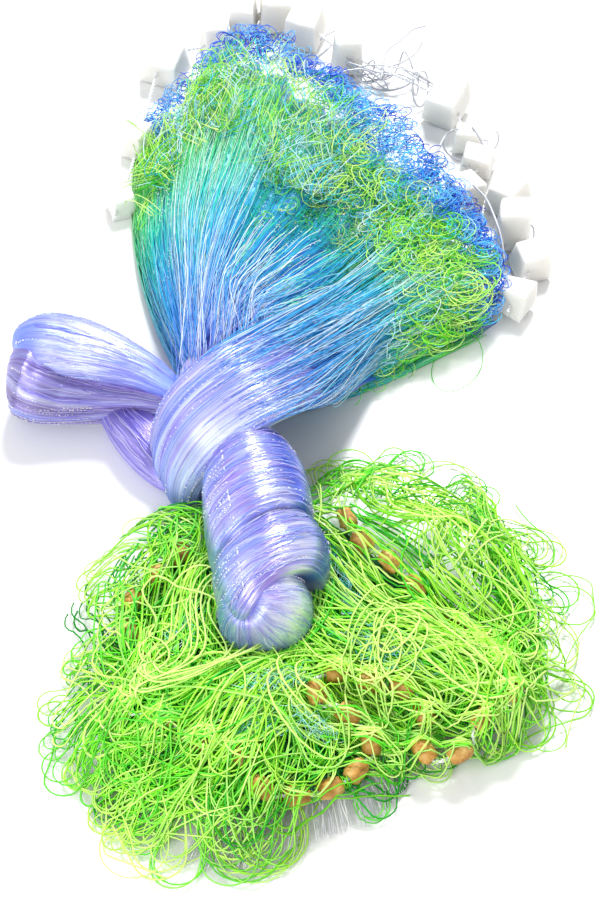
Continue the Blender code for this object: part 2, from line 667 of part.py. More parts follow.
def sinker_line(parent, clay, fibre):
    """The foot rope through its sinkers, and a cutter for the room that they take."""
    points, centres, ahead = foot_rope_path()
    place("foot_rope", rope("foot_rope", points, ROPE_RADIUS, ROPE_SIDES), parent, fibre)
    passage = passage_mesh("foot_passage", points)
    hole = as_cutter(place("foot_passage", passage, parent))
    barrel = barrel_mesh("sinker", SINKER_LENGTH, SINKER_RADIUS, SINKER_SIDES, BARREL_PROFILE)
    across_flats = SINKER_RADIUS + POCKET_CLEARANCE
    room = barrel_mesh("sinker_room", SINKER_LENGTH + 2 * POCKET_CLEARANCE,
                       across_flats / np.cos(np.pi / POCKET_SIDES), POCKET_SIDES, PRISM_PROFILE)
    rooms = []
    for number, (centre, direction) in enumerate(zip(centres, ahead), start=1):
        turn = Vector(direction).to_track_quat("X", "Z")
        sinker = place(f"sinker_{number:02d}", barrel, parent, clay, centre)
        sinker.rotation_euler = turn.to_euler()
        combine(sinker, hole, "DIFFERENCE")
        rooms.append((room, Matrix.Translation(centre) @ turn.to_matrix().to_4x4()))
    return line_room("sinker_line_room", rooms, parent)


def build_net():
    """Every sub-part of the net, each in its own object."""
    origin = bpy.data.objects.new("net_origin", None)
    origin.location = ORIGIN_SHIFT
    bpy.context.scene.collection.objects.link(origin)

    lilac = finish("fine_monofilament", (0.52, 0.50, 0.86), 0.30)
    green = finish("coarse_monofilament", (0.40, 0.86, 0.16), 0.35)
    blue = finish("selvedge_twine", (0.05, 0.18, 0.72), 0.45)
    pale = finish("rope_fibre", (0.82, 0.83, 0.86), 0.60)
    foam = finish("float_foam", (0.90, 0.89, 0.85), 0.75)
    clay = finish("sinker_clay", (0.62, 0.33, 0.14), 0.80)

    fine_netting(origin, lilac)
    float_room = float_line(origin, foam, pale)
    coarse = fan_zone("coarse_netting_head", zone_edge(2, GAP), zone_edge(3, -GAP),
                      COARSE_ROWS, bottom=0.0)
    selvedge = fan_zone("selvedge_head", zone_edge(3, GAP), np.ones_like,
                        SELVEDGE_ROWS, bottom=0.0)
    for mesh, material in ((coarse, green), (selvedge, blue)):
        zone = place(mesh.name, mesh, origin, material)
        combine(zone, float_room, "DIFFERENCE", crossing=True)
    heap = place("coarse_netting_foot", heap_mesh("coarse_netting_foot"), origin, green)
    combine(heap, shank_clearance(origin), "DIFFERENCE")
    combine(heap, sinker_line(origin, clay, pale), "DIFFERENCE", crossing=True)


remove_everything()
build_net()
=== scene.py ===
# %% [markdown]
# # A bundled gill net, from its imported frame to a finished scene
# The net has been gathered, half-hitched and laid on a pale table.  Its head edge is opened out
# like a fan with foam floats round it, its middle is wound into a short silky shank, and its
# foot edge lies in a heap of curled green monofilament with clay sinkers in it.
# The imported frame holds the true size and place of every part.  This script adds what makes
# netting look like netting: strands, curls, knots, twisted rope, foam and fired clay.

import bpy
import numpy as np
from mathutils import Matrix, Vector


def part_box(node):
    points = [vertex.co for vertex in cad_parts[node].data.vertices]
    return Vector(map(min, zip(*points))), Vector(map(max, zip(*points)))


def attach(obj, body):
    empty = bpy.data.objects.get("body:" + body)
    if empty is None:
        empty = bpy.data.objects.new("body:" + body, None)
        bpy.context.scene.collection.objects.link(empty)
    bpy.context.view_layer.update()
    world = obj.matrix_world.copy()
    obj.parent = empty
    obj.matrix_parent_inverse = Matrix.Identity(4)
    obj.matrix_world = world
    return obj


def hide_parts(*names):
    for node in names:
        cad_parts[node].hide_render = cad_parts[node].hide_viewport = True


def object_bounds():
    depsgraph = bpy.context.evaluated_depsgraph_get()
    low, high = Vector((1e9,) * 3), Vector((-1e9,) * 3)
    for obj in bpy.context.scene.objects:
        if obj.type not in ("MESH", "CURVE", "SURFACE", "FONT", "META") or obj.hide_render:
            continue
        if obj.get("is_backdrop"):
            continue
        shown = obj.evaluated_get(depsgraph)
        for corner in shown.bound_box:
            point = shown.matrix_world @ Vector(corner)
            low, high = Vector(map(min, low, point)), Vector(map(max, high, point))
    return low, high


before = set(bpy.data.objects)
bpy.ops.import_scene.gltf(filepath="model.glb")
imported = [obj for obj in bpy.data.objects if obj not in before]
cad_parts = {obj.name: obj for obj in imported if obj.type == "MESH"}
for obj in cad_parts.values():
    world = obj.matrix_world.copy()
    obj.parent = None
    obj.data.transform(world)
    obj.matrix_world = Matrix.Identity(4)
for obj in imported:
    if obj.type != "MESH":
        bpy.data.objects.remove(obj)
cad_low, cad_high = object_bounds()
cad_box = [list(cad_low), list(cad_high)]
FLOAT_NODES = sorted(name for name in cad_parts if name.startswith("float_"))
SINKER_NODES = sorted(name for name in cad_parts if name.startswith("sinker_"))
print("frame:", len(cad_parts), "nodes,", len(FLOAT_NODES), "floats,", len(SINKER_NODES), "sinkers")


# %% [markdown]
# ## Camera
# The camera comes first, because every later choice, such as how thick a strand has to be to
# show, is judged through it.  It looks down at the net from its foot end.  A long lens from
# 1.4 m away keeps the float end from shrinking, as it would with a wide lens held close.

# %% Camera
LOOK_AT = np.array([0.0099, -0.1141, 0.040])
CAMERA_DISTANCE = 1.40
CAMERA_ELEVATION = np.radians(50.0)
LENS_MM = 76.59
SENSOR_MM = 36.0


def new_object(name, data):
    """An object that shows its data in the scene."""
    thing = bpy.data.objects.new(name, data)
    bpy.context.scene.collection.objects.link(thing)
    return thing


def face(thing, way):
    """Turn a camera or a lamp so that it looks along a direction."""
    thing.rotation_euler = Vector(way).to_track_quat("-Z", "Y").to_euler()


def place_camera():
    """Camera on a circle round the target: back along -Y by cos, up by sin of the elevation."""
    away = np.array([0.0, -np.cos(CAMERA_ELEVATION), np.sin(CAMERA_ELEVATION)])
    data = bpy.data.cameras.new("camera")
    data.lens = LENS_MM
    data.sensor_width = SENSOR_MM
    camera = new_object("camera", data)
    camera.location = LOOK_AT + away * CAMERA_DISTANCE
    face(camera, -away)
    bpy.context.scene.camera = camera
    return camera


print("camera at", [round(v, 3) for v in place_camera().location])


# %% [markdown]
# ## Small tools for curves
# Everything on a net is a curve: a strand, a rope, the outline of a heap.  The first tools make
# directions of length 1, and turn a short table into a smooth curve.

# %% Curve tools
def unit(vectors):
    """Each vector divided by its length."""
    return vectors / np.maximum(np.linalg.norm(vectors, axis=-1, keepdims=True), 1e-9)


def joined(*columns):
    """Coordinates joined into points."""
    return np.stack(np.broadcast_arrays(*columns), axis=-1)


def smooth_through(positions, values, at):
    """Cubic Hermite curve through (positions, values), with mean slopes at the rows.

    values is one number a row, or a whole array a row that is shaped as at is.
    """
    positions = np.asarray(positions, dtype=float)
    values = np.asarray(values, dtype=float)
    at = np.asarray(at, dtype=float)
    steps = np.diff(positions)
    rises = (np.diff(values, axis=0).T / steps).T
    slopes = np.concatenate([rises[:1], (rises[:-1] + rises[1:]) / 2, rises[-1:]])
    here = np.clip(np.searchsorted(positions, at) - 1, 0, len(steps) - 1)
    span = steps[here]
    share = np.clip((at - positions[here]) / span, 0.0, 1.0)

    def row(table, offset=0):
        """The table's row at each place, or the row that is offset after it."""
        if table.ndim == 1:
            return table[here + offset]
        return np.take_along_axis(table, here[None] + offset, axis=0)[0]

    return (row(values) * (2 * share**3 - 3 * share**2 + 1)
            + row(slopes) * span * (share**3 - 2 * share**2 + share)
            + row(values, 1) * (3 * share**2 - 2 * share**3)
            + row(slopes, 1) * span * (share**3 - share**2))


def travelled(points):
    """Length of the line of points up to each of them."""
    return np.append(0.0, np.cumsum(np.linalg.norm(np.diff(points, axis=0), axis=1)))


def curve_through(points, at):
    """A smooth space curve through the points; at runs from 0 to 1 along its length."""
    travel = travelled(points)
    return joined(*[smooth_through(travel, column, at * travel[-1]) for column in points.T])


# %% [markdown]
# A tangle needs chance, but the same chance each time.  Every draw comes from a seeded
# generator, and is shaped into something smooth: a wander for each strand, worked out for all
# of them together, or low hills along a line.

# %% Turns, wanders and hills
def turned_by(degrees, first, second):
    """Two coordinates turned: (first * cos - second * sin, first * sin + second * cos)."""
    cosine, sine = np.cos(np.radians(degrees)), np.sin(np.radians(degrees))
    return first * cosine - second * sine, first * sine + second * cosine


def wander(rng, count, along, turns=(1.0, 2.3, 4.1)):
    """A smooth random curve for each strand: sines of rising frequency and falling size."""
    total = np.zeros((count, np.shape(along)[-1]))
    for turn in turns:
        phase = rng.uniform(0, 2 * np.pi, (count, 1))
        size = rng.normal(0, 1, (count, 1)) / turn**0.8
        total += size * np.sin(2 * np.pi * turn * along + phase)
    return total


def ripple(seed, at, octaves=3):
    """Repeatable random hills along a line: random heights joined up, in finer and finer steps."""
    heights = np.random.default_rng(seed).normal(0, 1, 4096)
    last = len(heights) - 1
    total = np.zeros(np.shape(at))
    for octave in range(octaves):
        place = at * 2.0**octave + 97.0 * octave
        total += np.interp(place % last, np.arange(last + 1), heights) / 1.8**octave
    return total


def bell(values, middle_value, width):
    """exp(-((value - middle) / width) ** 2)."""
    return np.exp(-(((values - middle_value) / width) ** 2))


# %% [markdown]
# ## Where the layout lies
# The tables below give plan positions in the net's own layout, with the gathered neck near the
# origin.  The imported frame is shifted, so that its origin is under the middle of the net.  The
# first sinker is in both, so the difference between its two places is the shift.

# %% Shift from layout to frame
FIRST_SINKER = (-0.077, -0.173)


def middle(node):
    """Centre of a node's box in the frame."""
    low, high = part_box(node)
    return (np.array(low) + np.array(high)) / 2


SHIFT = np.round([*(middle("sinker_01")[:2] - FIRST_SINKER), 0.0], 4)
print("layout shift:", SHIFT)


# %% [markdown]
# ## Turning arrays into pieces
# Two kinds of surface make nearly the whole net: skins and strands.  Both reach the scene in the
# same way.  Points and faces go into a mesh with a flat map, and the mesh becomes a piece that
# rides on the net's one body, takes its finish, and may stand for CAD nodes.

# %% Meshes and pieces
MAP_NAME = "OFBake"
COARSE, FINE = "coarse_monofilament", "fine_monofilament"   # the slots of most pieces
ON_TABLE = 0.0004         # what lies on the table stays this far above it


def fill_mesh(name, points, corners, starts, flat):
    """A mesh from points, the faces' corners one after another and each face's first corner."""
    mesh = bpy.data.meshes.new(name)
    mesh.vertices.add(len(points))
    mesh.vertices.foreach_set("co", np.asarray(points, dtype=np.float32).ravel())
    mesh.loops.add(len(corners))
    mesh.loops.foreach_set("vertex_index", corners.astype(np.int32))
    mesh.polygons.add(len(starts))
    mesh.polygons.foreach_set("loop_start", starts.astype(np.int32))
    mesh.update(calc_edges=True)
    layer = mesh.uv_layers.new(name=MAP_NAME)
    layer.uv.foreach_set("vector", np.asarray(flat, dtype=np.float32).ravel())
    mesh.shade_smooth()
    return mesh


def cell_corners(grids, turned=False):
    """Corners of every cell of one or more grids, in order round the cell, or the other way."""
    corners = [grids[:, :-1, :-1], grids[:, :-1, 1:], grids[:, 1:, 1:], grids[:, 1:, :-1]]
    return np.stack(corners[:1] + corners[:0:-1] if turned else corners, axis=3)


def closed_round(grids):
    """Each grid with its first column once more after its last."""
    return np.concatenate([grids, grids[:, :, :1]], axis=2)


total_triangles = 0


def add_piece(name, mesh, material, slot, *nodes):
    """Put a finished mesh in the scene on the net's one body, standing for CAD nodes."""
    global total_triangles
    piece = new_object(name, mesh)
    mesh.materials.append(material)
    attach(piece, "root")
    if nodes:
        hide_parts(*nodes)
    corners = np.empty(len(mesh.polygons), dtype=np.int32)
    mesh.polygons.foreach_get("loop_total", corners)
    triangles = int((corners - 2).sum())
    total_triangles += triangles
    print(f"{name}: {triangles} triangles, {total_triangles} so far")
    return piece


# %% [markdown]
# ## Skins
# A skin is a grid of points that closes round on itself, like a wound bundle.  Its flat map is
# simply the grid.  It carries its dye at every point, and which way its threads run.

# %% Skins
def skin(name, grid, dye, material, slot, *nodes, thread=None):
    """A skin over a grid of rows by columns, closed across the columns, with capped ends.

    Faces join each corner to its neighbours; dye is a colour for every grid point, and thread
    tells how far the point is across the threads and along them.  If the sum of each face's
    normal times its way out from the middle is below zero, the columns are turned round.
    """
    rows, columns = grid.shape[:2]
    around = np.roll(grid, -1, axis=1)[:-1] - grid[:-1]
    normals = np.cross(around, grid[1:] - grid[:-1])
    if (normals * (grid[:-1] - grid.mean(axis=(0, 1)))).sum() < 0:
        grid, dye = grid[:, ::-1], dye[:, ::-1]
        thread = None if thread is None else thread[:, ::-1]
    index = np.arange(rows * columns).reshape(rows, columns)
    quads = cell_corners(closed_round(index[None])).reshape(-1)
    u, v = np.meshgrid(np.arange(columns + 1) / columns, np.arange(rows) / (rows - 1))
    uv = joined(u, v)
    corners = np.concatenate([quads, index[0, ::-1], index[-1]])
    starts = np.append(np.arange(0, len(quads), 4), len(quads) + np.array([0, columns]))
    flat = np.concatenate([cell_corners(uv[None]).reshape(-1, 2), uv[0, :-1][::-1], uv[-1, :-1]])
    mesh = fill_mesh(name, grid.reshape(-1, 3) + SHIFT, corners, starts, flat)
    colours = mesh.attributes.new("dye", "FLOAT_COLOR", "POINT")
    opaque = np.concatenate([dye.reshape(-1, 3), np.ones((rows * columns, 1))], axis=1)
    colours.data.foreach_set("color", opaque.astype(np.float32).ravel())
    if thread is not None:
        flow = np.concatenate([thread, np.zeros((rows, columns, 1))], axis=2)
        lines = mesh.attributes.new("thread", "FLOAT_VECTOR", "POINT")
        lines.data.foreach_set("vector", flow.astype(np.float32).ravel())
    return add_piece(name, mesh, material, slot, *nodes)


# %% [markdown]
# ## Strands
# A strand is a thin tube along a path, and thousands of them share one mesh, because one piece
# of ten thousand tubes is far lighter to handle than ten thousand pieces.  Three sides are
# enough for so thin a tube, because smooth shading rounds it.  Its flat map is a colour chart:
# across it the dye changes, and up it the brightness, which is painted shade low down and a
# painted highlight high up, and each strand lies where its own colours are.

# %% Strands
CHART_STEP = 0.012        # room that one strand takes on its colour chart
CHART_LOW, CHART_HIGH = 0.004, 0.996   # the chart's margin


def carried_sides(paths):
    """Two directions square to each path, carried along it without twist."""
    ahead = unit(np.gradient(paths, axis=1))
    side = np.empty_like(paths)
    side[:, 0] = unit(np.cross(ahead[:, 0], [0.03, 0.05, 1.0]))
    for step in range(1, paths.shape[1]):
        slant = (side[:, step - 1] * ahead[:, step]).sum(axis=-1, keepdims=True)
        side[:, step] = unit(side[:, step - 1] - slant * ahead[:, step])
    return side, np.cross(ahead, side)


def strands(name, paths, radius, hue, light, material, slot, *nodes, sides=3):
    """Closed tubes along many paths: path + radius * (cos * side + sin * up) at each point.

    paths is strands by points by 3; radius and hue are one number for each point, and light is
    one for each strand: its place up the chart, painted shade at the low end, painted highlight at the
    high end.
    """
    count, length = paths.shape[:2]
    light = np.asarray(light)[:, None, None]
    side, up = carried_sides(paths)
    angle = np.linspace(0, 2 * np.pi, sides, endpoint=False)[:, None]
    thick = np.broadcast_to(radius, (count, length))[:, :, None, None]
    spokes = side[:, :, None] * np.cos(angle) + up[:, :, None] * np.sin(angle)
    points = (paths[:, :, None] + thick * spokes).reshape(-1, 3)
    index = np.arange(count * length * sides).reshape(count, length, sides)
    quads = cell_corners(closed_round(index)).reshape(-1)
    caps = np.stack([index[:, 0, ::-1], index[:, -1]], axis=1).reshape(-1)
    starts = np.append(np.arange(0, len(quads), 4), len(quads) + np.arange(0, len(caps), sides))
    spread = np.append(np.linspace(-CHART_STEP, CHART_STEP, sides), -CHART_STEP / 2)
    u = np.broadcast_to(hue, (count, length))[:, :, None] + np.zeros(sides + 1)
    u = u + np.linspace(0, CHART_STEP, length)[None, :, None]
    v = np.broadcast_to(light, (count, length, sides + 1)) + spread
    uv = np.clip(joined(u, v), CHART_LOW, CHART_HIGH)
    ends = np.stack([uv[:, 0, sides - 1::-1], uv[:, -1, :sides]], axis=1)
    flat = np.concatenate([cell_corners(uv).reshape(-1, 2), ends.reshape(-1, 2)])
    mesh = fill_mesh(name, points + SHIFT, np.append(quads, caps), starts, flat)
    return add_piece(name, mesh, material, slot, *nodes)


# %% [markdown]
# ## Dyes and node tools
# Dyes are written as a maker would mix them on a screen, and turned into linear light here.  A
# finish is a small tree of nodes.  These tools make a node and fill its inputs in one line, so
# that a finish reads as a recipe.

# %% Dyes and node tools
def dye(red, green, blue):
    """A screen colour as linear light: ((c + 0.055) / 1.055) ** 2.4."""
    screen = np.array([red, green, blue], dtype=float)
    return ((screen + 0.055) / 1.055) ** 2.4


def new_finish(name):
    """An empty node material with its principled shader."""
    material = bpy.data.materials.new(name)
    material.use_nodes = True
    tree = material.node_tree
    return material, tree, tree.nodes["Principled BSDF"]


def put(tree, socket, value):
    """Link a socket to another one, or set it to a number, a direction or a colour."""
    if isinstance(value, bpy.types.NodeSocket):
        tree.links.new(value, socket)
    else:
        socket.default_value = (*value, 1.0) if socket.type == "RGBA" else value


def fill(tree, node, **values):
    """Give a node's inputs their values, each by its name with _ for a space."""
    for name, value in values.items():
        put(tree, node.inputs[name.replace("_", " ")], value)
    return node


def add_node(tree, kind, **values):
    """A new shader node with its inputs filled."""
    return fill(tree, tree.nodes.new("ShaderNode" + kind), **values)


# %% Parts of a recipe
def own_dye(tree, name="dye"):
    """The node that reads a skin's own attribute."""
    node = add_node(tree, "Attribute")
    node.attribute_name = name
    return node


def noise(tree, vector, scale, detail, **more):
    """Smooth random grey over a vector."""
    return add_node(tree, "TexNoise", Vector=vector, Scale=scale, Detail=detail, **more).outputs["Fac"]


def relief(tree, height, strength, distance):
    """The shading of fine bumps of a height."""
    return add_node(tree, "Bump", Strength=strength, Distance=distance, Height=height).outputs["Normal"]


def ramp(tree, factor, stops):
    """A colour ramp fed by a socket; stops are (place, colour) pairs."""
    node = add_node(tree, "ValToRGB", Fac=factor)
    elements = node.color_ramp.elements
    while len(elements) < len(stops):
        elements.new(0.5)
    for element, (place, colour) in zip(elements, stops):
        element.position = place
        element.color = (*colour, 1.0)
    return node.outputs["Color"]


def chart_axes(tree):
    """The two axes of a piece's own map: across it and up it."""
    chart = add_node(tree, "UVMap")
    chart.uv_map = MAP_NAME
    split = add_node(tree, "SeparateXYZ", Vector=chart.outputs["UV"])
    return split.outputs["X"], split.outputs["Y"]


def blend(tree, kind, factor, first, second):
    """Mix two colours; each input is a socket or a plain value."""
    node = add_node(tree, "Mix")
    node.data_type = "RGBA"
    node.blend_type = kind
    for place, value in ((0, factor), (6, first), (7, second)):
        put(tree, node.inputs[place], value)
    return node.outputs[2]


# %% [markdown]
# ## Finish of the strands
# Monofilament is clear nylon with dye in it.  It is glossy, it takes its colour from the light
# that passes through it, and where strands lie close the colour deepens by itself, because
# light bounces from one to the next.  So one finish serves all the strands: a ramp of dyes read
# across the chart, made darker low on the chart as painted shade, and paler high on it as a
# painted highlight.

# %% Strand finishes
BLACK, WHITE = (0.0, 0.0, 0.0), (1.0, 1.0, 1.0)
# below this height on the chart a strand is painted darker as shade, above it paler as a highlight
FULL_DYE = 0.55           # the height on the chart where the dye is as mixed


def strand_finish(name, stops, dark, bright, roughness, specular=0.5):
    """Dyed nylon: the ramp across the chart, times dark to 1 as painted shade, then towards bright as a
    painted highlight, up it.
    """
    material, tree, shader = new_finish(name)
    across, up = chart_axes(tree)
    base = ramp(tree, across, [(place, dye(*colour)) for place, *colour in stops])
    shade = ramp(tree, up, [(0.0, dark), (FULL_DYE, WHITE), (1.0, WHITE)])
    gleam = ramp(tree, up, [(0.0, BLACK), (FULL_DYE, BLACK), (1.0, WHITE)])
    shaded = blend(tree, "MULTIPLY", 1.0, base, shade)
    fill(tree, shader, Base_Color=blend(tree, "MIX", gleam, shaded, dye(*bright)),
         Roughness=roughness, Specular_IOR_Level=specular)
    return material


# each stop is its place across the chart, then red, green and blue
coarse_green = strand_finish(
    "coarse_green_monofilament",
    [(0.0, 0.03, 0.36, 0.10), (0.28, 0.18, 0.76, 0.22), (0.55, 0.46, 0.96, 0.22),
     (0.80, 0.68, 1.0, 0.25), (1.0, 0.80, 1.0, 0.40)],
    dark=(0.36, 0.48, 0.32), bright=(0.90, 1.0, 0.60), roughness=0.40, specular=0.20)
fan_blue = strand_finish(
    "fine_blue_monofilament",
    [(0.0, 0.58, 0.58, 1.0), (0.25, 0.28, 0.66, 1.0), (0.50, 0.25, 0.82, 1.0),
     (0.72, 0.15, 0.88, 0.78), (1.0, 0.45, 0.95, 0.35)],
    dark=(0.30, 0.42, 0.60), bright=(0.98, 1.0, 1.0), roughness=0.35, specular=0.3)
royal_twine = strand_finish(
    "royal_blue_twine",
    [(0.0, 0.04, 0.12, 0.62), (0.35, 0.04, 0.30, 0.92), (0.65, 0.06, 0.52, 1.0), (1.0, 0.35, 0.90, 1.0)],
    dark=(0.35, 0.35, 0.55), bright=(0.50, 0.82, 1.0), roughness=0.40, specular=0.3)
silk_lilac = strand_finish(
    "fine_lilac_monofilament",
    [(0.0, 0.55, 0.42, 0.85), (0.30, 0.66, 0.58, 0.96), (0.60, 0.55, 0.62, 0.98),
     (1.0, 0.42, 0.68, 0.96)],
    dark=(0.55, 0.50, 0.80), bright=(1.0, 0.99, 1.0), roughness=0.24)
white_cord = strand_finish("white_cord", [(0.0, 0.90, 0.90, 0.92), (1.0, 0.98, 0.98, 0.98)],
                           dark=(0.8, 0.8, 0.82), bright=WHITE, roughness=0.45)
pale_line = strand_finish(
    "clear_monofilament", [(0.0, 0.62, 0.62, 0.66), (0.5, 0.82, 0.83, 0.86), (1.0, 0.80, 0.95, 0.93)],
    dark=(0.7, 0.7, 0.75), bright=WHITE, roughness=0.25)
print("strand finishes:", [finish.name for finish in (coarse_green, fan_blue, royal_twine, silk_lilac)])


# %% [markdown]
# ## Floor and light
# The net lies on a pale glossy table in a bright room.  A white sky fills every shadow, as a
# light tent does, and one big lamp high on the right puts long highlights on the silky turns.
# The plain display transform keeps the dyes as vivid as they were mixed.

# %% Floor and light
TABLE_HALF = 3.0
SKY_STRENGTH = 0.62
LAMPS = [
    # name, x, y, z, size, watts
    ("key_lamp", 0.30, 1.65, 2.20, 0.72, 86.0),
    ("front_lamp", -0.70, -1.10, 0.80, 0.80, 12.0),
]


def build_studio():
    """One large floor quad, a white world, a key lamp and a softer lamp on the left."""
    mesh = bpy.data.meshes.new("table_top")
    mesh.from_pydata(TABLE_HALF * np.array([(-1, -1, 0), (1, -1, 0), (1, 1, 0), (-1, 1, 0)]),
                     [], [(0, 1, 2, 3)])
    floor = new_object("table_top", mesh)
    material, tree, shader = new_finish("white_table")
    fill(tree, shader, Base_Color=(0.94, 0.94, 0.94), Roughness=0.30, Specular_IOR_Level=0.5)
    mesh.materials.append(material)
    floor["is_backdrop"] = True
    world = bpy.data.worlds.new("bright_room")
    world.use_nodes = True
    fill(world.node_tree, world.node_tree.nodes["Background"], Color=WHITE, Strength=SKY_STRENGTH)
    bpy.context.scene.world = world
    for name, x, y, z, size, watts in LAMPS:
        data = bpy.data.lights.new(name, "AREA")
        data.shape = "RECTANGLE"
        data.size = data.size_y = size
        data.energy = watts
        lamp = new_object(name, data)
        lamp.location = (x, y, z)
        face(lamp, (-x, -(y + 0.1), -z))
    view = bpy.context.scene.view_settings
    view.view_transform = "Standard"
    view.look = "None"
    view.exposure = 0.0


build_studio()


# %% [markdown]
# ## The heap's form
# The foot edge of the net was let down in a heap: a low base with long swathes lying over it.
# Each swathe adds a smooth rise to the height, longer than it is wide and turned to the way it
# lies.  The heap falls away at an outline that is read from a table of reaches.

# %% Height of the heap
HEAP_CENTRE = np.array([0.010, -0.250])
HEAP_WALL = 0.009
HEAP_BASE = 0.025
HEAP_OUTLINE = np.array([
    # azimuth (degrees), reach
    (-180.0, 0.152), (-169.0, 0.162), (-160.0, 0.168), (-150.0, 0.168), (-138.0, 0.166),
    (-118.0, 0.160), (-103.0, 0.152), (-86.0, 0.128), (-70.0, 0.122), (-55.0, 0.112),
    (-43.0, 0.108), (-31.0, 0.134), (-20.0, 0.164), (-8.0, 0.174), (4.0, 0.180),
    (18.0, 0.184), (34.0, 0.180), (52.0, 0.180), (70.0, 0.182), (84.0, 0.156),
    (108.0, 0.140), (130.0, 0.166), (146.0, 0.166), (163.0, 0.160),
])
FULL_TURN = (360.0, 0.0)
SWATHES = [
    # x, y, rise, half_length, half_width, turn (degrees from +X)
    (-0.100, -0.152, 0.018, 0.045, 0.020, 28.0),
    (-0.136, -0.208, 0.018, 0.048, 0.020, 78.0),
    (-0.086, -0.215, -0.008, 0.030, 0.024, 60.0),
    (-0.095, -0.312, 0.020, 0.080, 0.024, 25.0),
    (-0.030, -0.360, 0.014, 0.050, 0.030, 70.0),
    (-0.004, -0.300, 0.016, 0.045, 0.034, 0.0),
    (0.112, -0.276, 0.025, 0.080, 0.028, -33.0),
    (0.122, -0.226, -0.010, 0.050, 0.014, -12.0),
    (0.100, -0.168, 0.027, 0.085, 0.036, 4.0),
    (0.078, -0.105, 0.014, 0.045, 0.024, 15.0),
    (0.050, -0.330, -0.006, 0.030, 0.020, 10.0),
]


def heap_share(x, y):
    """Distance from the heap's centre as a share of the reach that way, and the azimuth."""
    away_x, away_y = x - HEAP_CENTRE[0], y - HEAP_CENTRE[1]
    azimuth = np.degrees(np.arctan2(away_y, away_x))
    table = np.concatenate([HEAP_OUTLINE[-2:] - FULL_TURN, HEAP_OUTLINE, HEAP_OUTLINE[:2] + FULL_TURN])
    reach = smooth_through(*table.T, (azimuth + 180.0) % 360.0 - 180.0)
    return np.hypot(away_x, away_y) / reach, azimuth


def heap_height(x, y):
    """Base plus a bell for each swathe, which falls to the wall as the root of 1 - share^4."""
    share = np.clip(heap_share(x, y)[0], 0.0, 1.0)
    height = np.full(np.shape(x), HEAP_BASE)
    for middle_x, middle_y, rise, half_length, half_width, turn in SWATHES:
        ahead, aside = turned_by(-turn, x - middle_x, y - middle_y)
        height = height + rise * np.exp(-((ahead / half_length) ** 2 + (aside / half_width) ** 2))
    return HEAP_WALL + (height - HEAP_WALL) * np.sqrt(1.0 - share**4)


print("heap height at its centre:", round(float(heap_height(0.01, -0.25)), 4))


# %% [markdown]
# ## Matted netting inside the heap
# Between the top strands the eye falls on netting packed deep inside, teal in places and dark
# green where it lies in shade.  Drawing it strand by strand would cost as much as the rest of
# the net and hardly show, so a low crumpled skin stands for it, with that shade painted into its
# dye.  Its finish is mottled and rough, with pale flecks of knots.

# %% Matted skin finish
def matted_finish(name):
    """The skin's own dye times mottling, with the same mottling as fine bumps."""
    material, tree, shader = new_finish(name)
    fine = noise(tree, add_node(tree, "TexCoord").outputs["Object"], 420.0, 5.0, Distortion=1.4)
    mottle = ramp(tree, fine, [(0.30, (0.35, 0.40, 0.40)), (0.52, WHITE), (0.72, (1.7, 1.6, 1.5))])
    fill(tree, shader, Base_Color=blend(tree, "MULTIPLY", 1.0, own_dye(tree).outputs["Color"], mottle),
         Normal=relief(tree, fine, 0.9, 0.0015), Roughness=0.55)
    return material


matted = matted_finish("matted_netting")


# %% Matted skin in the heap
def heap_core():
    """Rings round the heap's centre at a share of its height, closed by a ring on the table."""
    rings, spokes = 46, 150
    azimuth = np.linspace(-np.pi, np.pi, spokes, endpoint=False)
    reach = 1.0 / heap_share(HEAP_CENTRE[0] + np.cos(azimuth), HEAP_CENTRE[1] + np.sin(azimuth))[0]
    airy = bell(azimuth, np.radians(50.0), np.radians(38.0))
    share = np.linspace(0.004, 1.0, rings)[:, None] * (0.76 - 0.28 * airy)
    x, y = (HEAP_CENTRE[:, None, None] + share * reach * [[np.cos(azimuth)], [np.sin(azimuth)]])
    lumps = ripple(5, 60 * x + 9 * ripple(6, 50 * y)) * ripple(7, 55 * y + 40)
    z = heap_height(x, y) * 0.60 * (1 - share**6) + 0.0018 * np.clip(lumps, -2, 2) + 0.002
    hem = joined(x[-1], y[-1], ON_TABLE)
    floor_ring = hem.copy()
    floor_ring[:, :2] = HEAP_CENTRE + 0.01 * (hem[:, :2] - HEAP_CENTRE)
    grid = np.concatenate([joined(x, y, z), hem[None], floor_ring[None]])[::-1]
    # painted shade: the dark green is darkest low down and lighter higher up
    shade = np.clip((grid[..., 2] / 0.045)[..., None], 0, 1)
    teal = np.exp(-((grid[..., 0] - 0.01) ** 2 + (grid[..., 1] + 0.285) ** 2) / 0.075**2)[..., None]
    colour = dye(0.03, 0.30, 0.09) * (1 - shade) + dye(0.10, 0.50, 0.17) * shade
    colour = colour * (1 - teal) + dye(0.22, 0.66, 0.52) * teal
    return skin("heap_core", grid, colour, matted, COARSE, "coarse_netting_foot")


heap_core()


# %% [markdown]
# ## Strands of the heap
# A strand of monofilament is springy.  It runs with its neighbours where they were pulled out
# together, wanders a little, and turns back in a round loop where it leaves the heap.  That is
# how it is drawn here: a strand starts somewhere, steps along, and steers.  The steering pulls
# it towards the lie of the netting, adds its own wander, and turns it hard at the edge.
# All strands take each step together as arrays.  A step is shorter where a strand turns hard,
# so that tight loops stay round and straight stretches stay cheap.

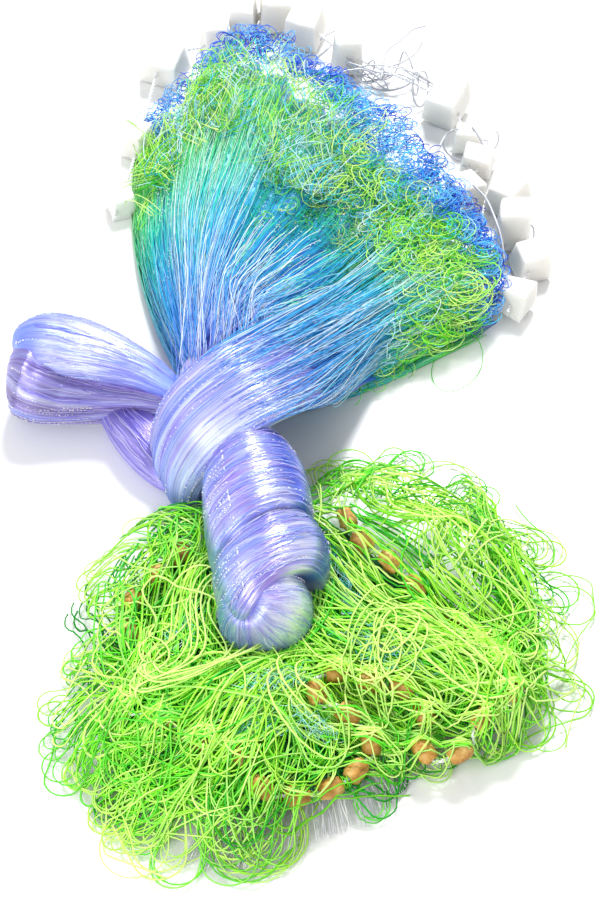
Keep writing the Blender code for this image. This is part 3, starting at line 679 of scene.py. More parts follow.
# %% Steering strands over a plan
LIE = [
    # x, y, heading (degrees) that the netting lies along there
    (-0.052, -0.140, 168.0), (-0.088, -0.128, 186.0), (-0.128, -0.152, 222.0),
    (-0.152, -0.200, 258.0), (-0.158, -0.255, 274.0), (-0.142, -0.305, 292.0),
    (-0.070, -0.170, 236.0), (-0.062, -0.215, 276.0), (-0.100, -0.215, 262.0),
    (-0.110, -0.265, 285.0), (-0.072, -0.262, 262.0),
    (-0.025, -0.272, 206.0), (-0.070, -0.296, 203.0), (-0.115, -0.325, 206.0),
    (-0.155, -0.345, 214.0), (-0.090, -0.362, 226.0), (-0.035, -0.325, 238.0),
    (-0.045, -0.385, 252.0), (-0.010, -0.370, 268.0), (0.000, -0.290, 262.0),
    (0.030, -0.335, 330.0), (0.075, -0.335, 342.0), (0.040, -0.285, 318.0),
    (0.035, -0.215, 296.0), (0.062, -0.250, 318.0), (0.100, -0.275, 324.0),
    (0.140, -0.298, 316.0), (0.165, -0.300, 290.0), (0.188, -0.270, 272.0),
    (0.045, -0.165, 318.0), (0.085, -0.205, 326.0), (0.130, -0.225, 330.0),
    (0.040, -0.105, 22.0), (0.080, -0.098, 0.0), (0.120, -0.125, 330.0),
    (0.090, -0.150, 342.0), (0.140, -0.165, 322.0), (0.178, -0.185, 298.0),
    (0.195, -0.225, 276.0),
]
LIE_SPREAD = 0.030
FOLLOW = 32.0             # how hard a strand turns to the lie, in radians for each metre
RIM_FREE, RIM_ROOM = 1.05, 0.09   # shares of the reach: free up to here, then drawn in
LOCK_STRANDS = 7
LONG_STEP = 0.0085
MOST_TURN = 0.36          # radians that a strand may turn in one step


def lie_of(x, y):
    """Direction of the netting at each point: the table's directions, weighted by nearness."""
    table = np.array(LIE)
    apart = (x[..., None] - table[:, 0]) ** 2 + (y[..., None] - table[:, 1]) ** 2
    weight = np.exp(-apart / LIE_SPREAD**2) + 1e-9
    heading = np.radians(table[:, 2])
    return np.arctan2((weight * np.sin(heading)).sum(-1), (weight * np.cos(heading)).sum(-1))


def steer(start, heading, own, hand, edge, loop_radius, follow):
    """Plan paths of many strands: x and y grow by the step along the heading.

    The heading turns by step * curvature.  Curvature is follow * sin of the angle to the lie,
    plus the strand's own wander.  Where the strand leaves the heap it is one over the loop's
    radius, to the side that brings it back soonest.  What still strays past the rim is drawn
    in to it.
    """
    count, steps = own.shape
    x, y = start[:, 0].copy(), start[:, 1].copy()
    heading = heading.copy()
    turning = np.zeros(count, dtype=bool)
    path = np.empty((count, steps, 2))
    for step in range(steps):
        path[:, step, 0], path[:, step, 1] = x, y
        share, azimuth = heap_share(x, y)
        outward = np.cos(heading - np.radians(azimuth))
        aside = np.sin(np.radians(azimuth) - heading)
        starting = (share > edge) & (outward > 0.05) & ~turning
        hand = np.where(starting & (np.abs(aside) > 0.30), -np.sign(aside), hand)
        turning = starting | turning & (outward > -0.82) & (share > edge - 0.25)
        off = lie_of(x, y) - heading
        pull = follow * np.sin(off) * np.sign(np.cos(off) + 0.25)
        curvature = np.where(turning, hand / loop_radius, pull + own[:, step])
        stride = np.minimum(LONG_STEP, MOST_TURN / np.maximum(np.abs(curvature), 1e-6))
        heading = heading + curvature * stride
        x = x + stride * np.cos(heading)
        y = y + stride * np.sin(heading)
    share = heap_share(path[..., 0], path[..., 1])[0]
    past = np.maximum(share - RIM_FREE, 0.0)
    drawn = (share - past + RIM_ROOM * np.tanh(past / RIM_ROOM)) / np.maximum(share, 1e-6)
    return HEAP_CENTRE + (path - HEAP_CENTRE) * drawn[..., None]


# %% Where the heap's strands start, and how high they lie
SHEAVES = [
    # x, y, spread_x, spread_y, heading, heading_spread, locks, layer_low, layer_high
    (-0.062, -0.142, 0.010, 0.009, 172.0, 8.0, 10, 0.74, 1.06),      # arc over the left lobe
    (-0.056, -0.180, 0.008, 0.024, 240.0, 12.0, 5, 0.62, 1.03),      # down the lobe's inside
    (-0.124, -0.215, 0.024, 0.040, 262.0, 14.0, 7, 0.60, 1.16),
    (-0.028, -0.268, 0.036, 0.012, 206.0, 8.0, 10, 0.75, 1.25),      # swathe to the front left
    (-0.050, -0.330, 0.044, 0.028, 225.0, 26.0, 8, 0.60, 1.16),      # to the front
    (0.030, -0.280, 0.036, 0.018, 322.0, 18.0, 6, 0.70, 1.14),       # to the front right
    (0.042, -0.185, 0.010, 0.040, 306.0, 10.0, 8, 0.80, 1.25),       # swathe past the shank
    (0.095, -0.245, 0.040, 0.024, 322.0, 8.0, 8, 0.75, 1.22),
    (0.052, -0.120, 0.020, 0.018, 10.0, 36.0, 5, 0.85, 1.20),        # swathe to the right
    (0.095, -0.140, 0.034, 0.022, 345.0, 36.0, 4, 0.80, 1.20),
    (0.140, -0.180, 0.030, 0.034, 325.0, 46.0, 5, 0.75, 1.20),
]
SINKER_AT = np.array([middle(node) for node in SINKER_NODES])
SINKER_OVER, OVER_WIDTH = 0.0078, 0.012     # how far over a sinker's middle a strand keeps
SINKER_UNDER, UNDER_WIDTH = 0.0075, 0.011   # how far under it
OVER_LAYER, BAY_OVER = 0.96, 0.16   # from this layer up strands lie over the sinkers; more in the bay
BAY, BAY_DEPTH = (0.046, -0.302, 0.050, 0.040), 0.30   # x, y and half sizes of the low bay
RIM_FROM, RIM_WIDTH, RIM_DROP = 0.92, 0.15, 0.32   # where strands come down to the table
LEAST_HEIGHT = 0.0012     # a loose strand's line stays this far above the table


def in_bay(x, y):
    """A bell over the bay at the front of the heap, where the sinkers gather."""
    return np.exp(-((x - BAY[0]) / BAY[2]) ** 2 - ((y - BAY[1]) / BAY[3]) ** 2)


def laid_height(plan, layer, sway):
    """The heap's height times the layer, less in the bay, and near the table past the rim.

    The strands of the highest layers pass over a sinker, and the others pass under it.
    """
    x, y = plan[..., 0], plan[..., 1]
    layer = layer[:, None]
    z = heap_height(x, y) * (1 - BAY_DEPTH * in_bay(x, y)) * layer + sway + 0.0030
    beyond = np.clip((heap_share(x, y)[0] - RIM_FROM) / RIM_WIDTH, 0, 1)
    z = z * (1 - beyond) + (RIM_DROP * z + ON_TABLE) * beyond
    for sinker_x, sinker_y, sinker_z in SINKER_AT - SHIFT:
        apart = np.hypot(x - sinker_x, y - sinker_y)
        over = (sinker_z + SINKER_OVER + 0.002 * layer - z) * np.exp(-(apart / OVER_WIDTH) ** 4)
        under = (z - sinker_z + SINKER_UNDER) * np.exp(-(apart / UNDER_WIDTH) ** 4)
        above = layer > OVER_LAYER + BAY_OVER * in_bay(sinker_x, sinker_y)
        z = z + np.where(above, np.maximum(over, 0.0), -np.maximum(under, 0.0))
    return np.maximum(z, LEAST_HEIGHT)


# %% Strands of the heap
def heap_strands(name, rows, seed, *nodes):
    """Locks of strands from the sheaves, laid over the heap between their low and high layers.

    The strands of a lock start together, wander together and loop round one another.
    """
    rng = np.random.default_rng(seed)
    table = np.array(rows)
    sheaf = np.repeat(np.arange(len(rows)), table[:, 6].astype(int))
    x, y, spread_x, spread_y, heading, spread, _, low, high = table[sheaf].T
    locks = len(sheaf)
    lock = np.repeat(np.arange(locks), LOCK_STRANDS)
    count, steps = len(lock), 46
    start = rng.normal(joined(x, y), joined(spread_x, spread_y))[lock]
    start = start + rng.normal(0, 0.0066, (count, 2))
    heading = np.radians(rng.normal(heading, spread)[lock] + rng.normal(0, 3.5, count))
    layer = rng.uniform(low, high)[lock] + rng.normal(0, 0.04, count)
    line = np.linspace(0, 1, steps)
    own = (wander(rng, locks, line, turns=(0.6, 1.3)) * rng.gamma(2.0, 4.5, (locks, 1)))[lock]
    own = own + wander(rng, count, line, turns=(0.9, 1.9)) * rng.gamma(2.0, 1.6, (count, 1))
    loop_radius = rng.uniform(0.007, 0.020, locks)[lock] * rng.uniform(0.75, 1.25, count)
    edge = rng.uniform(0.68, 1.02, locks)[lock] + rng.normal(0, 0.03, count) - loop_radius / 0.16
    follow = FOLLOW * rng.choice([0.5, 0.9, 1.1, 1.3], locks)[lock]
    hand = rng.choice([-1.0, 1.0], locks)[lock]
    plan = steer(start, heading, own, hand, edge, loop_radius, follow)
    z = laid_height(plan, layer, 0.0022 * wander(rng, count, line, turns=(1.6, 3.0)))
    paths = np.concatenate([plan, z[..., None]], axis=2)
    # painted shade: strands of lower layers get a darker dye and less light
    rank = np.clip((layer[:, None] - 0.62) / 0.45, 0, 1)
    hue = (0.14 + 0.66 * rank - 0.34 * (rng.random(locks) < 0.22)[lock][:, None]
           + 0.10 * wander(rng, count, line, turns=(1.0, 2.0)))
    light = np.clip(0.6 * rng.beta(1.5, 1.5, locks)[lock] + 0.4 * rng.beta(1.6, 1.6, count)
                    + 1.0 * (layer - 0.97), 0.14, 0.90)
    thick = rng.uniform(0.00058, 0.00084, count)[:, None]
    return strands(name, paths, thick, np.clip(hue, 0.18, 0.97), light, coarse_green,
                   COARSE, *nodes)


heap_strands("heap_strands_left", SHEAVES[:5], 11, "coarse_netting_foot")
heap_strands("heap_strands_right", SHEAVES[5:], 12)


# %% [markdown]
# ## The fan's form
# The head edge of the net is opened out like a hand fan.  Its rays leave the gathered neck,
# bow outwards and straighten.  A place on the fan is given by two shares: how far round it is
# from the left flank to the right, and how far along its ray.  The same two shares place the
# skin, the strands, the curls and the knots, so they always agree.

# %% Plan and height of the fan
NECK = (-0.066, -0.023)
FAN_BOW_LEFT, FAN_BOW_RIGHT = 22.0, -34.0
FAN_STATIONS = (0.0, 0.10, 0.28, 0.52, 0.78, 0.93, 1.0)
NECK_HEIGHTS = (0.072, 0.068, 0.056)   # at the first three stations
FAN_RAYS = [
    # azimuth, reach, coarse_from, selvedge_from, hollow, crest, rim height, rim place
    (95.0, 0.418, 0.54, 0.73, 0.026, 0.028, 0.013, 0.84),
    (91.0, 0.446, 0.54, 0.70, 0.036, 0.038, 0.014, 0.83),
    (86.0, 0.478, 0.63, 0.77, 0.038, 0.046, 0.014, 0.90),
    (75.0, 0.434, 0.59, 0.80, 0.034, 0.048, 0.014, 0.88),
    (60.0, 0.402, 0.58, 0.71, 0.031, 0.046, 0.014, 0.83),
    (50.0, 0.352, 0.58, 0.76, 0.032, 0.046, 0.014, 0.87),
    (38.0, 0.318, 0.56, 0.80, 0.034, 0.044, 0.014, 0.88),
    (31.0, 0.306, 0.54, 0.83, 0.032, 0.040, 0.014, 0.88),
    (22.0, 0.262, 0.55, 0.87, 0.026, 0.032, 0.012, 0.93),
]
RAY_TABLE = np.array(FAN_RAYS)
RAY_SHARES = (RAY_TABLE[0, 0] - RAY_TABLE[:, 0]) / (RAY_TABLE[0, 0] - RAY_TABLE[-1, 0])


def fan_row(share, index):
    """A column of the rays' table at a share of the way from the left flank to the right."""
    return smooth_through(RAY_SHARES, RAY_TABLE[:, index], share)


def fan_plan(share, along):
    """Neck + reach * along, on an azimuth that bows by (1 - along) ** (1 + share)."""
    azimuth = RAY_TABLE[0, 0] + share * (RAY_TABLE[-1, 0] - RAY_TABLE[0, 0])
    bow = FAN_BOW_LEFT + share * (FAN_BOW_RIGHT - FAN_BOW_LEFT)
    angle = np.radians(azimuth + bow * np.clip(1.0 - along, 0, 1) ** (1.0 + share))
    distance = fan_row(share, 1) * along
    return NECK[0] + distance * np.cos(angle), NECK[1] + distance * np.sin(angle)


def fan_height(share, along):
    """Height along each ray: neck, shoulder, hollow, crest and rim, lower at the flanks."""
    share, along = np.broadcast_arrays(share, along)
    hollow, crest, rim = (fan_row(share, index) for index in (4, 5, 6))
    heights = np.stack(np.broadcast_arrays(*NECK_HEIGHTS, hollow, crest, 0.75 * crest, rim))
    here = smooth_through(FAN_STATIONS, heights, along)
    pleat = 0.008 * np.cos(2 * np.pi * 9 * share) * (1.0 - along) * np.sqrt(np.clip(along, 0, 1))
    flank = np.abs(2.0 * share - 1.0)
    rounded = 0.36 + 0.64 * (1.0 - flank**7)
    fade = np.clip((along - 0.85) / 0.15, 0.0, 1.0)
    return (here + pleat) * (rounded + (1.0 - rounded) * fade)


def fan_point(share, along, lift=0.0):
    """Space point of the fan's surface, raised by lift."""
    x, y = fan_plan(share, along)
    return joined(x, y, fan_height(share, along) + lift)


print("fan rim, middle ray:", np.round(fan_point(np.array(0.5), np.array(1.0)), 3))


# %% [markdown]
# ## Silk
# Fine monofilament that is pulled tight lies like combed hair.  The eye reads it from three
# things: a sheen that runs across the threads, thin lines of lighter and darker thread along
# them, and a few threads that stand clear.  The skin carries the sheen, on low ridges that
# follow the threads, and its dye adds painted highlights and painted shade in the creases.
# Its finish draws the lines, from a noise that is drawn out along the map.  The clear threads
# are real strands, added later.

# %% Silk finish
def silk_finish(name, fineness, stretch, roughness, whiteness, satin, turned=0.0):
    """The skin's dye times two sizes of lines along the threads, and white lines over them.

    fineness is lines for each metre across the threads; stretch is changes for each metre
    along them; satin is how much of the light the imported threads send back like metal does.
    The gloss is drawn out across the threads: along the map's first axis, or square to it
    where turned is a quarter.
    """
    material, tree, shader = new_finish(name)
    flow = own_dye(tree, "thread").outputs["Vector"]

    def lines(share, detail):
        """Noise drawn out along the threads, at a share of the fineness."""
        scale = (fineness * share, stretch * share**0.5, 1.0)
        mapping = add_node(tree, "Mapping", Vector=flow, Scale=scale)
        return noise(tree, mapping.outputs["Vector"], 1.0, detail, Roughness=0.65)

    broad, fine = lines(0.16, 2.0), lines(1.0, 3.0)
    tone = ramp(tree, broad, [(0.30, (0.76, 0.76, 0.90)), (0.50, WHITE), (0.70, (1.12, 1.12, 1.06))])
    thread = ramp(tree, fine, [(0.28, (0.66, 0.64, 0.86)), (0.50, WHITE), (0.70, (1.18, 1.18, 1.10))])
    white = ramp(tree, fine, [(0.58, BLACK), (0.72, (whiteness,) * 3)])
    toned = blend(tree, "MULTIPLY", 1.0, own_dye(tree).outputs["Color"], tone)
    threaded = blend(tree, "MULTIPLY", 1.0, toned, thread)
    tangent = add_node(tree, "Tangent")
    tangent.direction_type = "UV_MAP"
    tangent.uv_map = MAP_NAME
    fill(tree, shader, Base_Color=blend(tree, "MIX", white, threaded, dye(0.93, 0.95, 1.0)),
         Normal=relief(tree, fine, 0.8, 0.0008), Roughness=roughness, Specular_IOR_Level=0.8,
         Metallic=satin, Anisotropic=0.75, Anisotropic_Rotation=turned,
         Tangent=tangent.outputs["Tangent"])
    return material


silk = silk_finish("fine_silk", 950.0, 16.0, 0.34, 0.55, 0.45)
wound_silk = silk_finish("wound_silk", 950.0, 16.0, 0.31, 0.55, 0.55, turned=0.25)
fan_silk = silk_finish("fan_silk", 620.0, 12.0, 0.38, 0.35, 0.15)


# %% Skin of the fan
DYE_STATIONS = (0.0, 0.14, 0.28, 0.42, 0.56, 0.70, 0.86, 1.0)
FAN_DYES = [
    # share round the fan, then red, green and blue in hundredths at each station along
    (0.00, 42, 40, 90, 20, 40, 92, 12, 52, 92, 10, 60, 76,
     20, 74, 52, 34, 82, 30, 8, 28, 84, 6, 20, 74),
    (0.16, 48, 48, 94, 40, 62, 98, 36, 70, 98, 34, 76, 94,
     30, 80, 80, 30, 80, 50, 12, 44, 80, 6, 20, 74),
    (0.32, 44, 40, 88, 24, 42, 94, 18, 48, 96, 18, 54, 94,
     14, 60, 80, 18, 70, 46, 14, 46, 70, 6, 20, 72),
    (0.50, 44, 40, 88, 30, 48, 96, 26, 58, 96, 14, 56, 82,
     8, 50, 56, 16, 64, 38, 20, 56, 80, 12, 40, 86),
    (0.68, 40, 40, 88, 28, 54, 96, 24, 62, 90, 12, 60, 62,
     8, 52, 46, 24, 72, 42, 26, 60, 86, 14, 40, 88),
    (0.84, 32, 38, 86, 18, 48, 92, 14, 56, 84, 12, 60, 62,
     14, 58, 40, 26, 74, 36, 20, 52, 80, 10, 30, 82),
    (1.00, 26, 34, 84, 12, 38, 84, 8, 42, 72, 6, 42, 48,
     6, 40, 26, 14, 54, 22, 8, 32, 60, 8, 26, 72),
]


def fan_dye(share, along):
    """Dye of the fan's skin: each row of the table along the rays, then from row to row."""
    table = np.array(FAN_DYES)
    colours = dye(*(table[:, 1:].reshape(-1, 3).T / 100)).T.reshape(len(table), -1, 3)
    rows = np.stack([[np.interp(along, DYE_STATIONS, row[:, k]) for k in range(3)] for row in colours])
    place = np.interp(share, table[:, 0], np.arange(len(table)))
    weight = np.maximum(1 - np.abs(place - np.arange(len(table))[:, None, None]), 0)
    return (rows * weight[:, None]).sum(axis=0).transpose(1, 2, 0)


def with_underside(table):
    """A table over the fan with its last row and its outer columns once more, turned round."""
    table = np.concatenate([table, table[-1:]])
    return np.concatenate([table, table[:, [-1, 0]]], axis=1)[:, ::-1]


def fan_skin():
    """Rays of the fan with ridges along them, closed by a flat underside on the table."""
    columns, rows = 230, 64
    share, along = np.meshgrid(np.linspace(0, 1, columns), np.linspace(0, 1, rows))
    frayed = fan_row(share, 7) - 0.035 + 0.015 * ripple(24, share * 40)
    along = 0.03 + along * (frayed - 0.03)
    ridges = ripple(21, share * 120 + 0.5 * np.sin(5 * along), octaves=2)
    rough = np.clip((along - 0.42) / 0.2, 0, 1)
    hills = ripple(22, 70 * share + 30 * along) * ripple(23, 60 * along - 20 * share)
    lift = -0.0025 + 0.0008 * ridges * (1 - rough) + 0.0022 * np.clip(hills, -1.5, 1.5) * rough
    top = fan_point(share, along, lift)
    top[..., 2] *= 1 - 0.30 * np.clip((along - 0.55) / 0.2, 0, 1)
    top[..., 2] *= 1 - 0.90 * np.clip((along - frayed + 0.11) / 0.11, 0, 1) ** 1.5
    top[..., 2] = np.maximum(top[..., 2], 0.001)
    grid = with_underside(top)
    grid[-1, :, 2] = grid[:, :2, 2] = ON_TABLE
    colour = with_underside(fan_dye(share, along))
    thread = with_underside(joined(0.30 * share, 0.42 * along))
    return skin("fan_skin", grid, colour, fan_silk, FINE,
                "fine_netting", "coarse_netting_head", "selvedge_head", thread=thread)


fan_skin()


# %% [markdown]
# ## Straight strands of the fan
# From the neck the strands run out straight, in tresses.  Near the neck they are lilac, then
# azure, then cyan, and they turn green where the coarse netting starts.  Some tresses catch
# the light and look white, so each row of the table gives its strands a range of brightness,
# painted into their colour: white at the top as a painted highlight, dark at the foot as
# painted shade.

# %% Straight strands
TRESSES = [
    # share_low, share_high, along_from, along_to, strands, light_low, light_high, lift
    (-0.016, 0.002, 0.03, 0.74, 150, 0.10, 0.80, 0.0006),   # down the left side
    (0.00, 0.14, 0.03, 0.62, 130, 0.20, 0.85, 0.0010),      # left flank
    (0.10, 0.24, 0.04, 0.86, 170, 0.35, 0.92, 0.0030),      # the broad pale tress
    (0.24, 0.46, 0.03, 0.56, 110, 0.08, 0.42, 0.0008),
    # painted highlight: strands painted bright where they cross the neck
    (0.26, 0.74, 0.06, 0.34, 210, 0.50, 1.00, 0.0028),      # bright strands over the neck
    (0.45, 0.82, 0.04, 0.60, 110, 0.08, 0.50, 0.0012),
    (0.70, 1.00, 0.10, 0.80, 200, 0.30, 0.95, 0.0025),      # right flank
    (0.998, 1.016, 0.08, 0.86, 110, 0.05, 0.70, 0.0006),    # down the right side
]
CLUMPS = 26
DYE_RANGE = (0.02, 0.97)  # the part of the chart that a strand's dye is kept in


def tresses():
    """Strands on rays that wander round their clump's ray, lifted off the skin in a low arc."""
    rng = np.random.default_rng(31)
    steps = 17
    along = np.linspace(0, 1, steps)
    shares, reaches, lights, lifts = [], [], [], []
    for low, high, start, end, count, dim, bright, lift in TRESSES:
        clump = rng.uniform(low, high, CLUMPS)[rng.integers(0, CLUMPS, count)]
        first = start + rng.gamma(1.2, 0.03, count)
        last = end * rng.uniform(0.72, 1.05, count)
        reach = first[:, None] + (last - first)[:, None] * along
        gather = 0.006 + 0.012 * rng.uniform(0, 1, count)
        spread = clump[:, None] + rng.normal(0, 1, (count, 1)) * gather[:, None]
        shares.append(np.clip(spread + 0.0045 * wander(rng, count, along),
                              min(low, 0.004), max(high, 0.996)))
        reaches.append(reach)
        lights.append(rng.uniform(dim, bright, count))
        stand = lift * rng.gamma(1.5, 0.7, count)
        lifts.append(0.0004 + stand[:, None] * np.sin(np.pi * along) ** 0.7)
    share, reach, light, lift = map(np.concatenate, (shares, reaches, lights, lifts))
    paths = fan_point(share, reach, lift)
    for part in (slice(0, TRESSES[0][4]), slice(-TRESSES[-1][4], None)):
        paths[part, :, 2] *= rng.uniform(0.15, 1.0, (len(paths[part]), 1))
    hue = 1.28 * reach + 0.25 * (1 - share) ** 4 + rng.normal(0, 0.06, (len(reach), 1))
    hue = np.clip(hue, *DYE_RANGE)
    thick = rng.uniform(0.00018, 0.00031, len(reach))[:, None]
    return strands("fan_strands", paths, thick, hue, light, fan_blue,
                   FINE, "fine_netting")


tresses()


# %% [markdown]
# ## Curls
# Past the straight strands the netting is loose, and springs into curls.  A curl is drawn as a
# point that goes round an ellipse while its centre drifts sideways, like the trace of a pen on
# a rolling wheel.  Long thin ellipses give the hanging loops on the left of the fan, and round
# ones the tangle on its right and in the blue selvedge.

# %% Curls
CURL_POINTS = 11          # points that draw one turn of a curl


def curls(name, rows, seed, zone, finish, slot, *nodes, bright=1.0):
    """Curls on the fan: centre + drift + long * cos(turn) along the ray + wide * sin(turn).

    zone names the two columns of the rays' table that the band lies between.  A row gives the
    shares round the fan and across the band, how many curls there are, their half length and
    half width, their turns, how far they drift, their lift, the dyes' range and how thick
    they are.  bright scales how light they are.
    """
    rng = np.random.default_rng(seed)
    most = max(row[7] for row in rows)
    first, last = zone
    tau = np.linspace(0, 1, int(round(CURL_POINTS * most)) + 1)
    parts = {key: [] for key in ("path", "hue", "light", "thick")}
    for (low, high, near, far, count, long, wide, turns, drift, lift, hue_low, hue_high,
         thick) in rows:
        share = rng.uniform(low, high, count)
        inner, outer = fan_row(share, first), fan_row(share, last)
        along = inner + (outer - inner) * rng.uniform(near, far, count)
        base = fan_point(share, along)
        ray = unit(fan_point(share, along + 0.02) - base)
        ray[:, 2] = 0
        ray = unit(ray)
        cross = joined(-ray[:, 1], ray[:, 0], 0.0)
        ray, cross = turned_by(-rng.normal(0, 28, (count, 1)), ray, cross)
        turn = (2 * np.pi * turns * tau * rng.uniform(0.75, 1.1, (count, 1))
                * rng.choice([-1, 1], (count, 1)) + rng.uniform(0, 2 * np.pi, (count, 1)))
        size = rng.uniform(0.55, 1.25, (count, 1)) * (1 + 0.14 * wander(rng, count, tau, (0.7, 1.6)))
        out = long * size * np.cos(turn) + 0.16 * long * wander(rng, count, tau, (0.6, 1.3))
        aside = (wide * size * np.sin(turn) + drift * (tau - 0.5) * rng.uniform(0.5, 1.4, (count, 1))
                 + 0.25 * wide * wander(rng, count, tau, (0.6, 1.3)))
        tilt = rng.uniform(0.1, 0.75, (count, 1)) * long * size
        rise = (rng.gamma(2.0, lift / 2, (count, 1)) + 0.6 * tilt
                + tilt * 0.6 * np.sin(turn + rng.uniform(0, 6.28, (count, 1))))
        path = base[:, None] + out[..., None] * ray[:, None] + aside[..., None] * cross[:, None]
        path[..., 2] = np.maximum(path[..., 2] * 0.92 + rise, LEAST_HEIGHT)
        parts["path"].append(path)
        parts["hue"].append(rng.uniform(hue_low, hue_high, (count, 1)) + 0.1 * wander(rng, count, tau))
        parts["light"].append(bright * rng.beta(2.4, 1.3, count))
        parts["thick"].append(np.full((count, 1), thick) * rng.uniform(0.8, 1.15, (count, 1)))
    path, hue, light, thick = map(np.concatenate, parts.values())
    return strands(name, path, thick, np.clip(hue, *DYE_RANGE), light, finish, slot, *nodes)


# share_low, share_high, near, far, curls, long, wide, turns, drift, lift, hue_low, hue_high, thick
GREEN_CURLS = [
    (0.00, 0.12, -0.30, 1.00, 80, 0.0180, 0.0026, 1.9, 0.012, 0.002, 0.25, 0.95, 0.00036),
    (0.08, 0.42, -0.10, 1.00, 115, 0.0200, 0.0056, 1.9, 0.018, 0.004, 0.25, 1.00, 0.00038),
    (0.40, 0.72, 0.00, 0.95, 75, 0.0115, 0.0080, 2.4, 0.018, 0.004, 0.25, 1.00, 0.00040),
    (0.70, 1.00, 0.00, 1.00, 85, 0.0130, 0.0095, 2.4, 0.018, 0.004, 0.25, 1.00, 0.00042),
    (0.26, 0.75, -0.90, 0.10, 85, 0.0085, 0.0055, 2.2, 0.010, 0.001, 0.05, 0.50, 0.00032),
    (0.96, 1.02, -1.60, 0.90, 60, 0.0080, 0.0055, 2.0, 0.014, 0.000, 0.02, 0.60, 0.00034),
    (0.905, 0.925, 0.72, 0.84, 12, 0.0135, 0.0130, 1.2, 0.002, 0.006, 0.60, 1.00, 0.00042),
]
BLUE_CURLS = [
    (0.00, 1.00, 0.00, 0.95, 270, 0.0064, 0.0052, 2.6, 0.012, 0.002, 0.10, 0.62, 0.00040),
    (0.00, 0.42, -0.05, 0.80, 90, 0.0064, 0.0052, 2.6, 0.012, 0.002, 0.15, 0.60, 0.00042),
    (0.30, 1.00, -0.30, 0.55, 110, 0.0075, 0.0060, 2.6, 0.014, 0.004, 0.60, 1.00, 0.00034),
    (0.33, 0.60, -0.60, 0.40, 60, 0.0085, 0.0060, 2.4, 0.014, 0.004, 0.80, 1.00, 0.00030),
]
HOLLOW_FUZZ = [           # fine teal netting that lies loose in the fan's hollow
    (0.24, 0.64, -1.20, 0.10, 420, 0.0060, 0.0050, 1.0, 0.012, 0.001, 0.55, 0.95, 0.00020),
]
AQUA_CURLS = [            # pale aqua ends of the fine netting among the green ones
    (0.02, 0.42, -0.20, 1.05, 150, 0.0180, 0.0046, 1.4, 0.012, 0.006, 0.45, 0.72, 0.00036),
    (0.25, 0.98, -0.20, 1.05, 190, 0.0085, 0.0055, 1.4, 0.014, 0.005, 0.45, 0.72, 0.00036),
]
curls("green_curls", GREEN_CURLS, 41, (2, 3), coarse_green, COARSE, "coarse_netting_head")
curls("blue_curls", BLUE_CURLS, 42, (3, 7), royal_twine, "selvedge_twine", "selvedge_head")
curls("aqua_curls", AQUA_CURLS, 44, (2, 3), fan_blue, FINE, bright=0.95)
curls("hollow_fuzz", HOLLOW_FUZZ, 43, (2, 3), fan_blue, FINE, bright=0.36)


# %% [markdown]
# ## Silky bundles
# Six bundles make the middle of the net: the two layers of the bight that was pulled through on
# the left, the part that passes under it, the hitch band, the shank that is wound with turns
# of the net's own slack, and the nose where the last turn is tucked in.  A bundle is an oval
# swept along a line.  Where one turn comes out from under another, the upper one keeps a lip
# and the lower one starts a few millimetres deeper, and the dark line between them, that step
# with painted shade along it, is what makes a turn read as a turn.

# %% Bundle surface
SHANK = [
    # x, y, z, half_width, half_height
    (-0.071, 0.004, 0.030, 0.026, 0.026), (-0.063, -0.020, 0.038, 0.036, 0.038),
    (-0.050, -0.055, 0.042, 0.040, 0.043), (-0.033, -0.100, 0.043, 0.036, 0.044),
    (-0.024, -0.135, 0.043, 0.0355, 0.046), (-0.018, -0.168, 0.043, 0.037, 0.044),
    (-0.012, -0.200, 0.043, 0.041, 0.045), (-0.012, -0.232, 0.041, 0.033, 0.042),
    (-0.011, -0.251, 0.037, 0.024, 0.030), (-0.011, -0.261, 0.034, 0.010, 0.012),
]
BIGHT_UPPER = [
    (-0.084, -0.034, 0.044, 0.009, 0.009), (-0.110, -0.018, 0.048, 0.015, 0.014),
    (-0.140, -0.006, 0.050, 0.022, 0.018), (-0.168, 0.004, 0.048, 0.027, 0.022),
    (-0.188, 0.008, 0.046, 0.026, 0.022), (-0.200, 0.009, 0.044, 0.018, 0.016),
    (-0.206, 0.008, 0.042, 0.007, 0.007),
]
BIGHT_LOWER = [
    (-0.082, -0.040, 0.034, 0.009, 0.010), (-0.110, -0.028, 0.029, 0.014, 0.014),
    (-0.140, -0.019, 0.025, 0.024, 0.021), (-0.166, -0.012, 0.026, 0.034, 0.024),
    (-0.186, -0.007, 0.029, 0.038, 0.029), (-0.198, -0.003, 0.031, 0.034, 0.030),
    (-0.2055, -0.001, 0.032, 0.024, 0.022), (-0.2095, 0.000, 0.032, 0.010, 0.010),
]
UNDER_PASS = [
    (-0.140, -0.012, 0.016, 0.010, 0.010), (-0.124, -0.034, 0.015, 0.018, 0.015),
    (-0.106, -0.060, 0.015, 0.021, 0.018), (-0.088, -0.084, 0.013, 0.018, 0.015),
    (-0.076, -0.100, 0.010, 0.010, 0.010),
]
HITCH = [
    (0.082, 0.030, 0.005, 0.010, 0.003), (0.052, 0.018, 0.015, 0.019, 0.005),
    (0.018, -0.010, 0.043, 0.034, 0.008), (-0.008, -0.042, 0.073, 0.040, 0.014),
    (-0.036, -0.066, 0.080, 0.041, 0.015), (-0.064, -0.082, 0.064, 0.038, 0.016),
    (-0.079, -0.092, 0.038, 0.033, 0.015), (-0.082, -0.096, 0.012, 0.026, 0.012),
    (-0.078, -0.094, -0.004, 0.020, 0.010),
]
LOWEST_SKIN = 0.0006      # a bundle's skin stays this far above the table


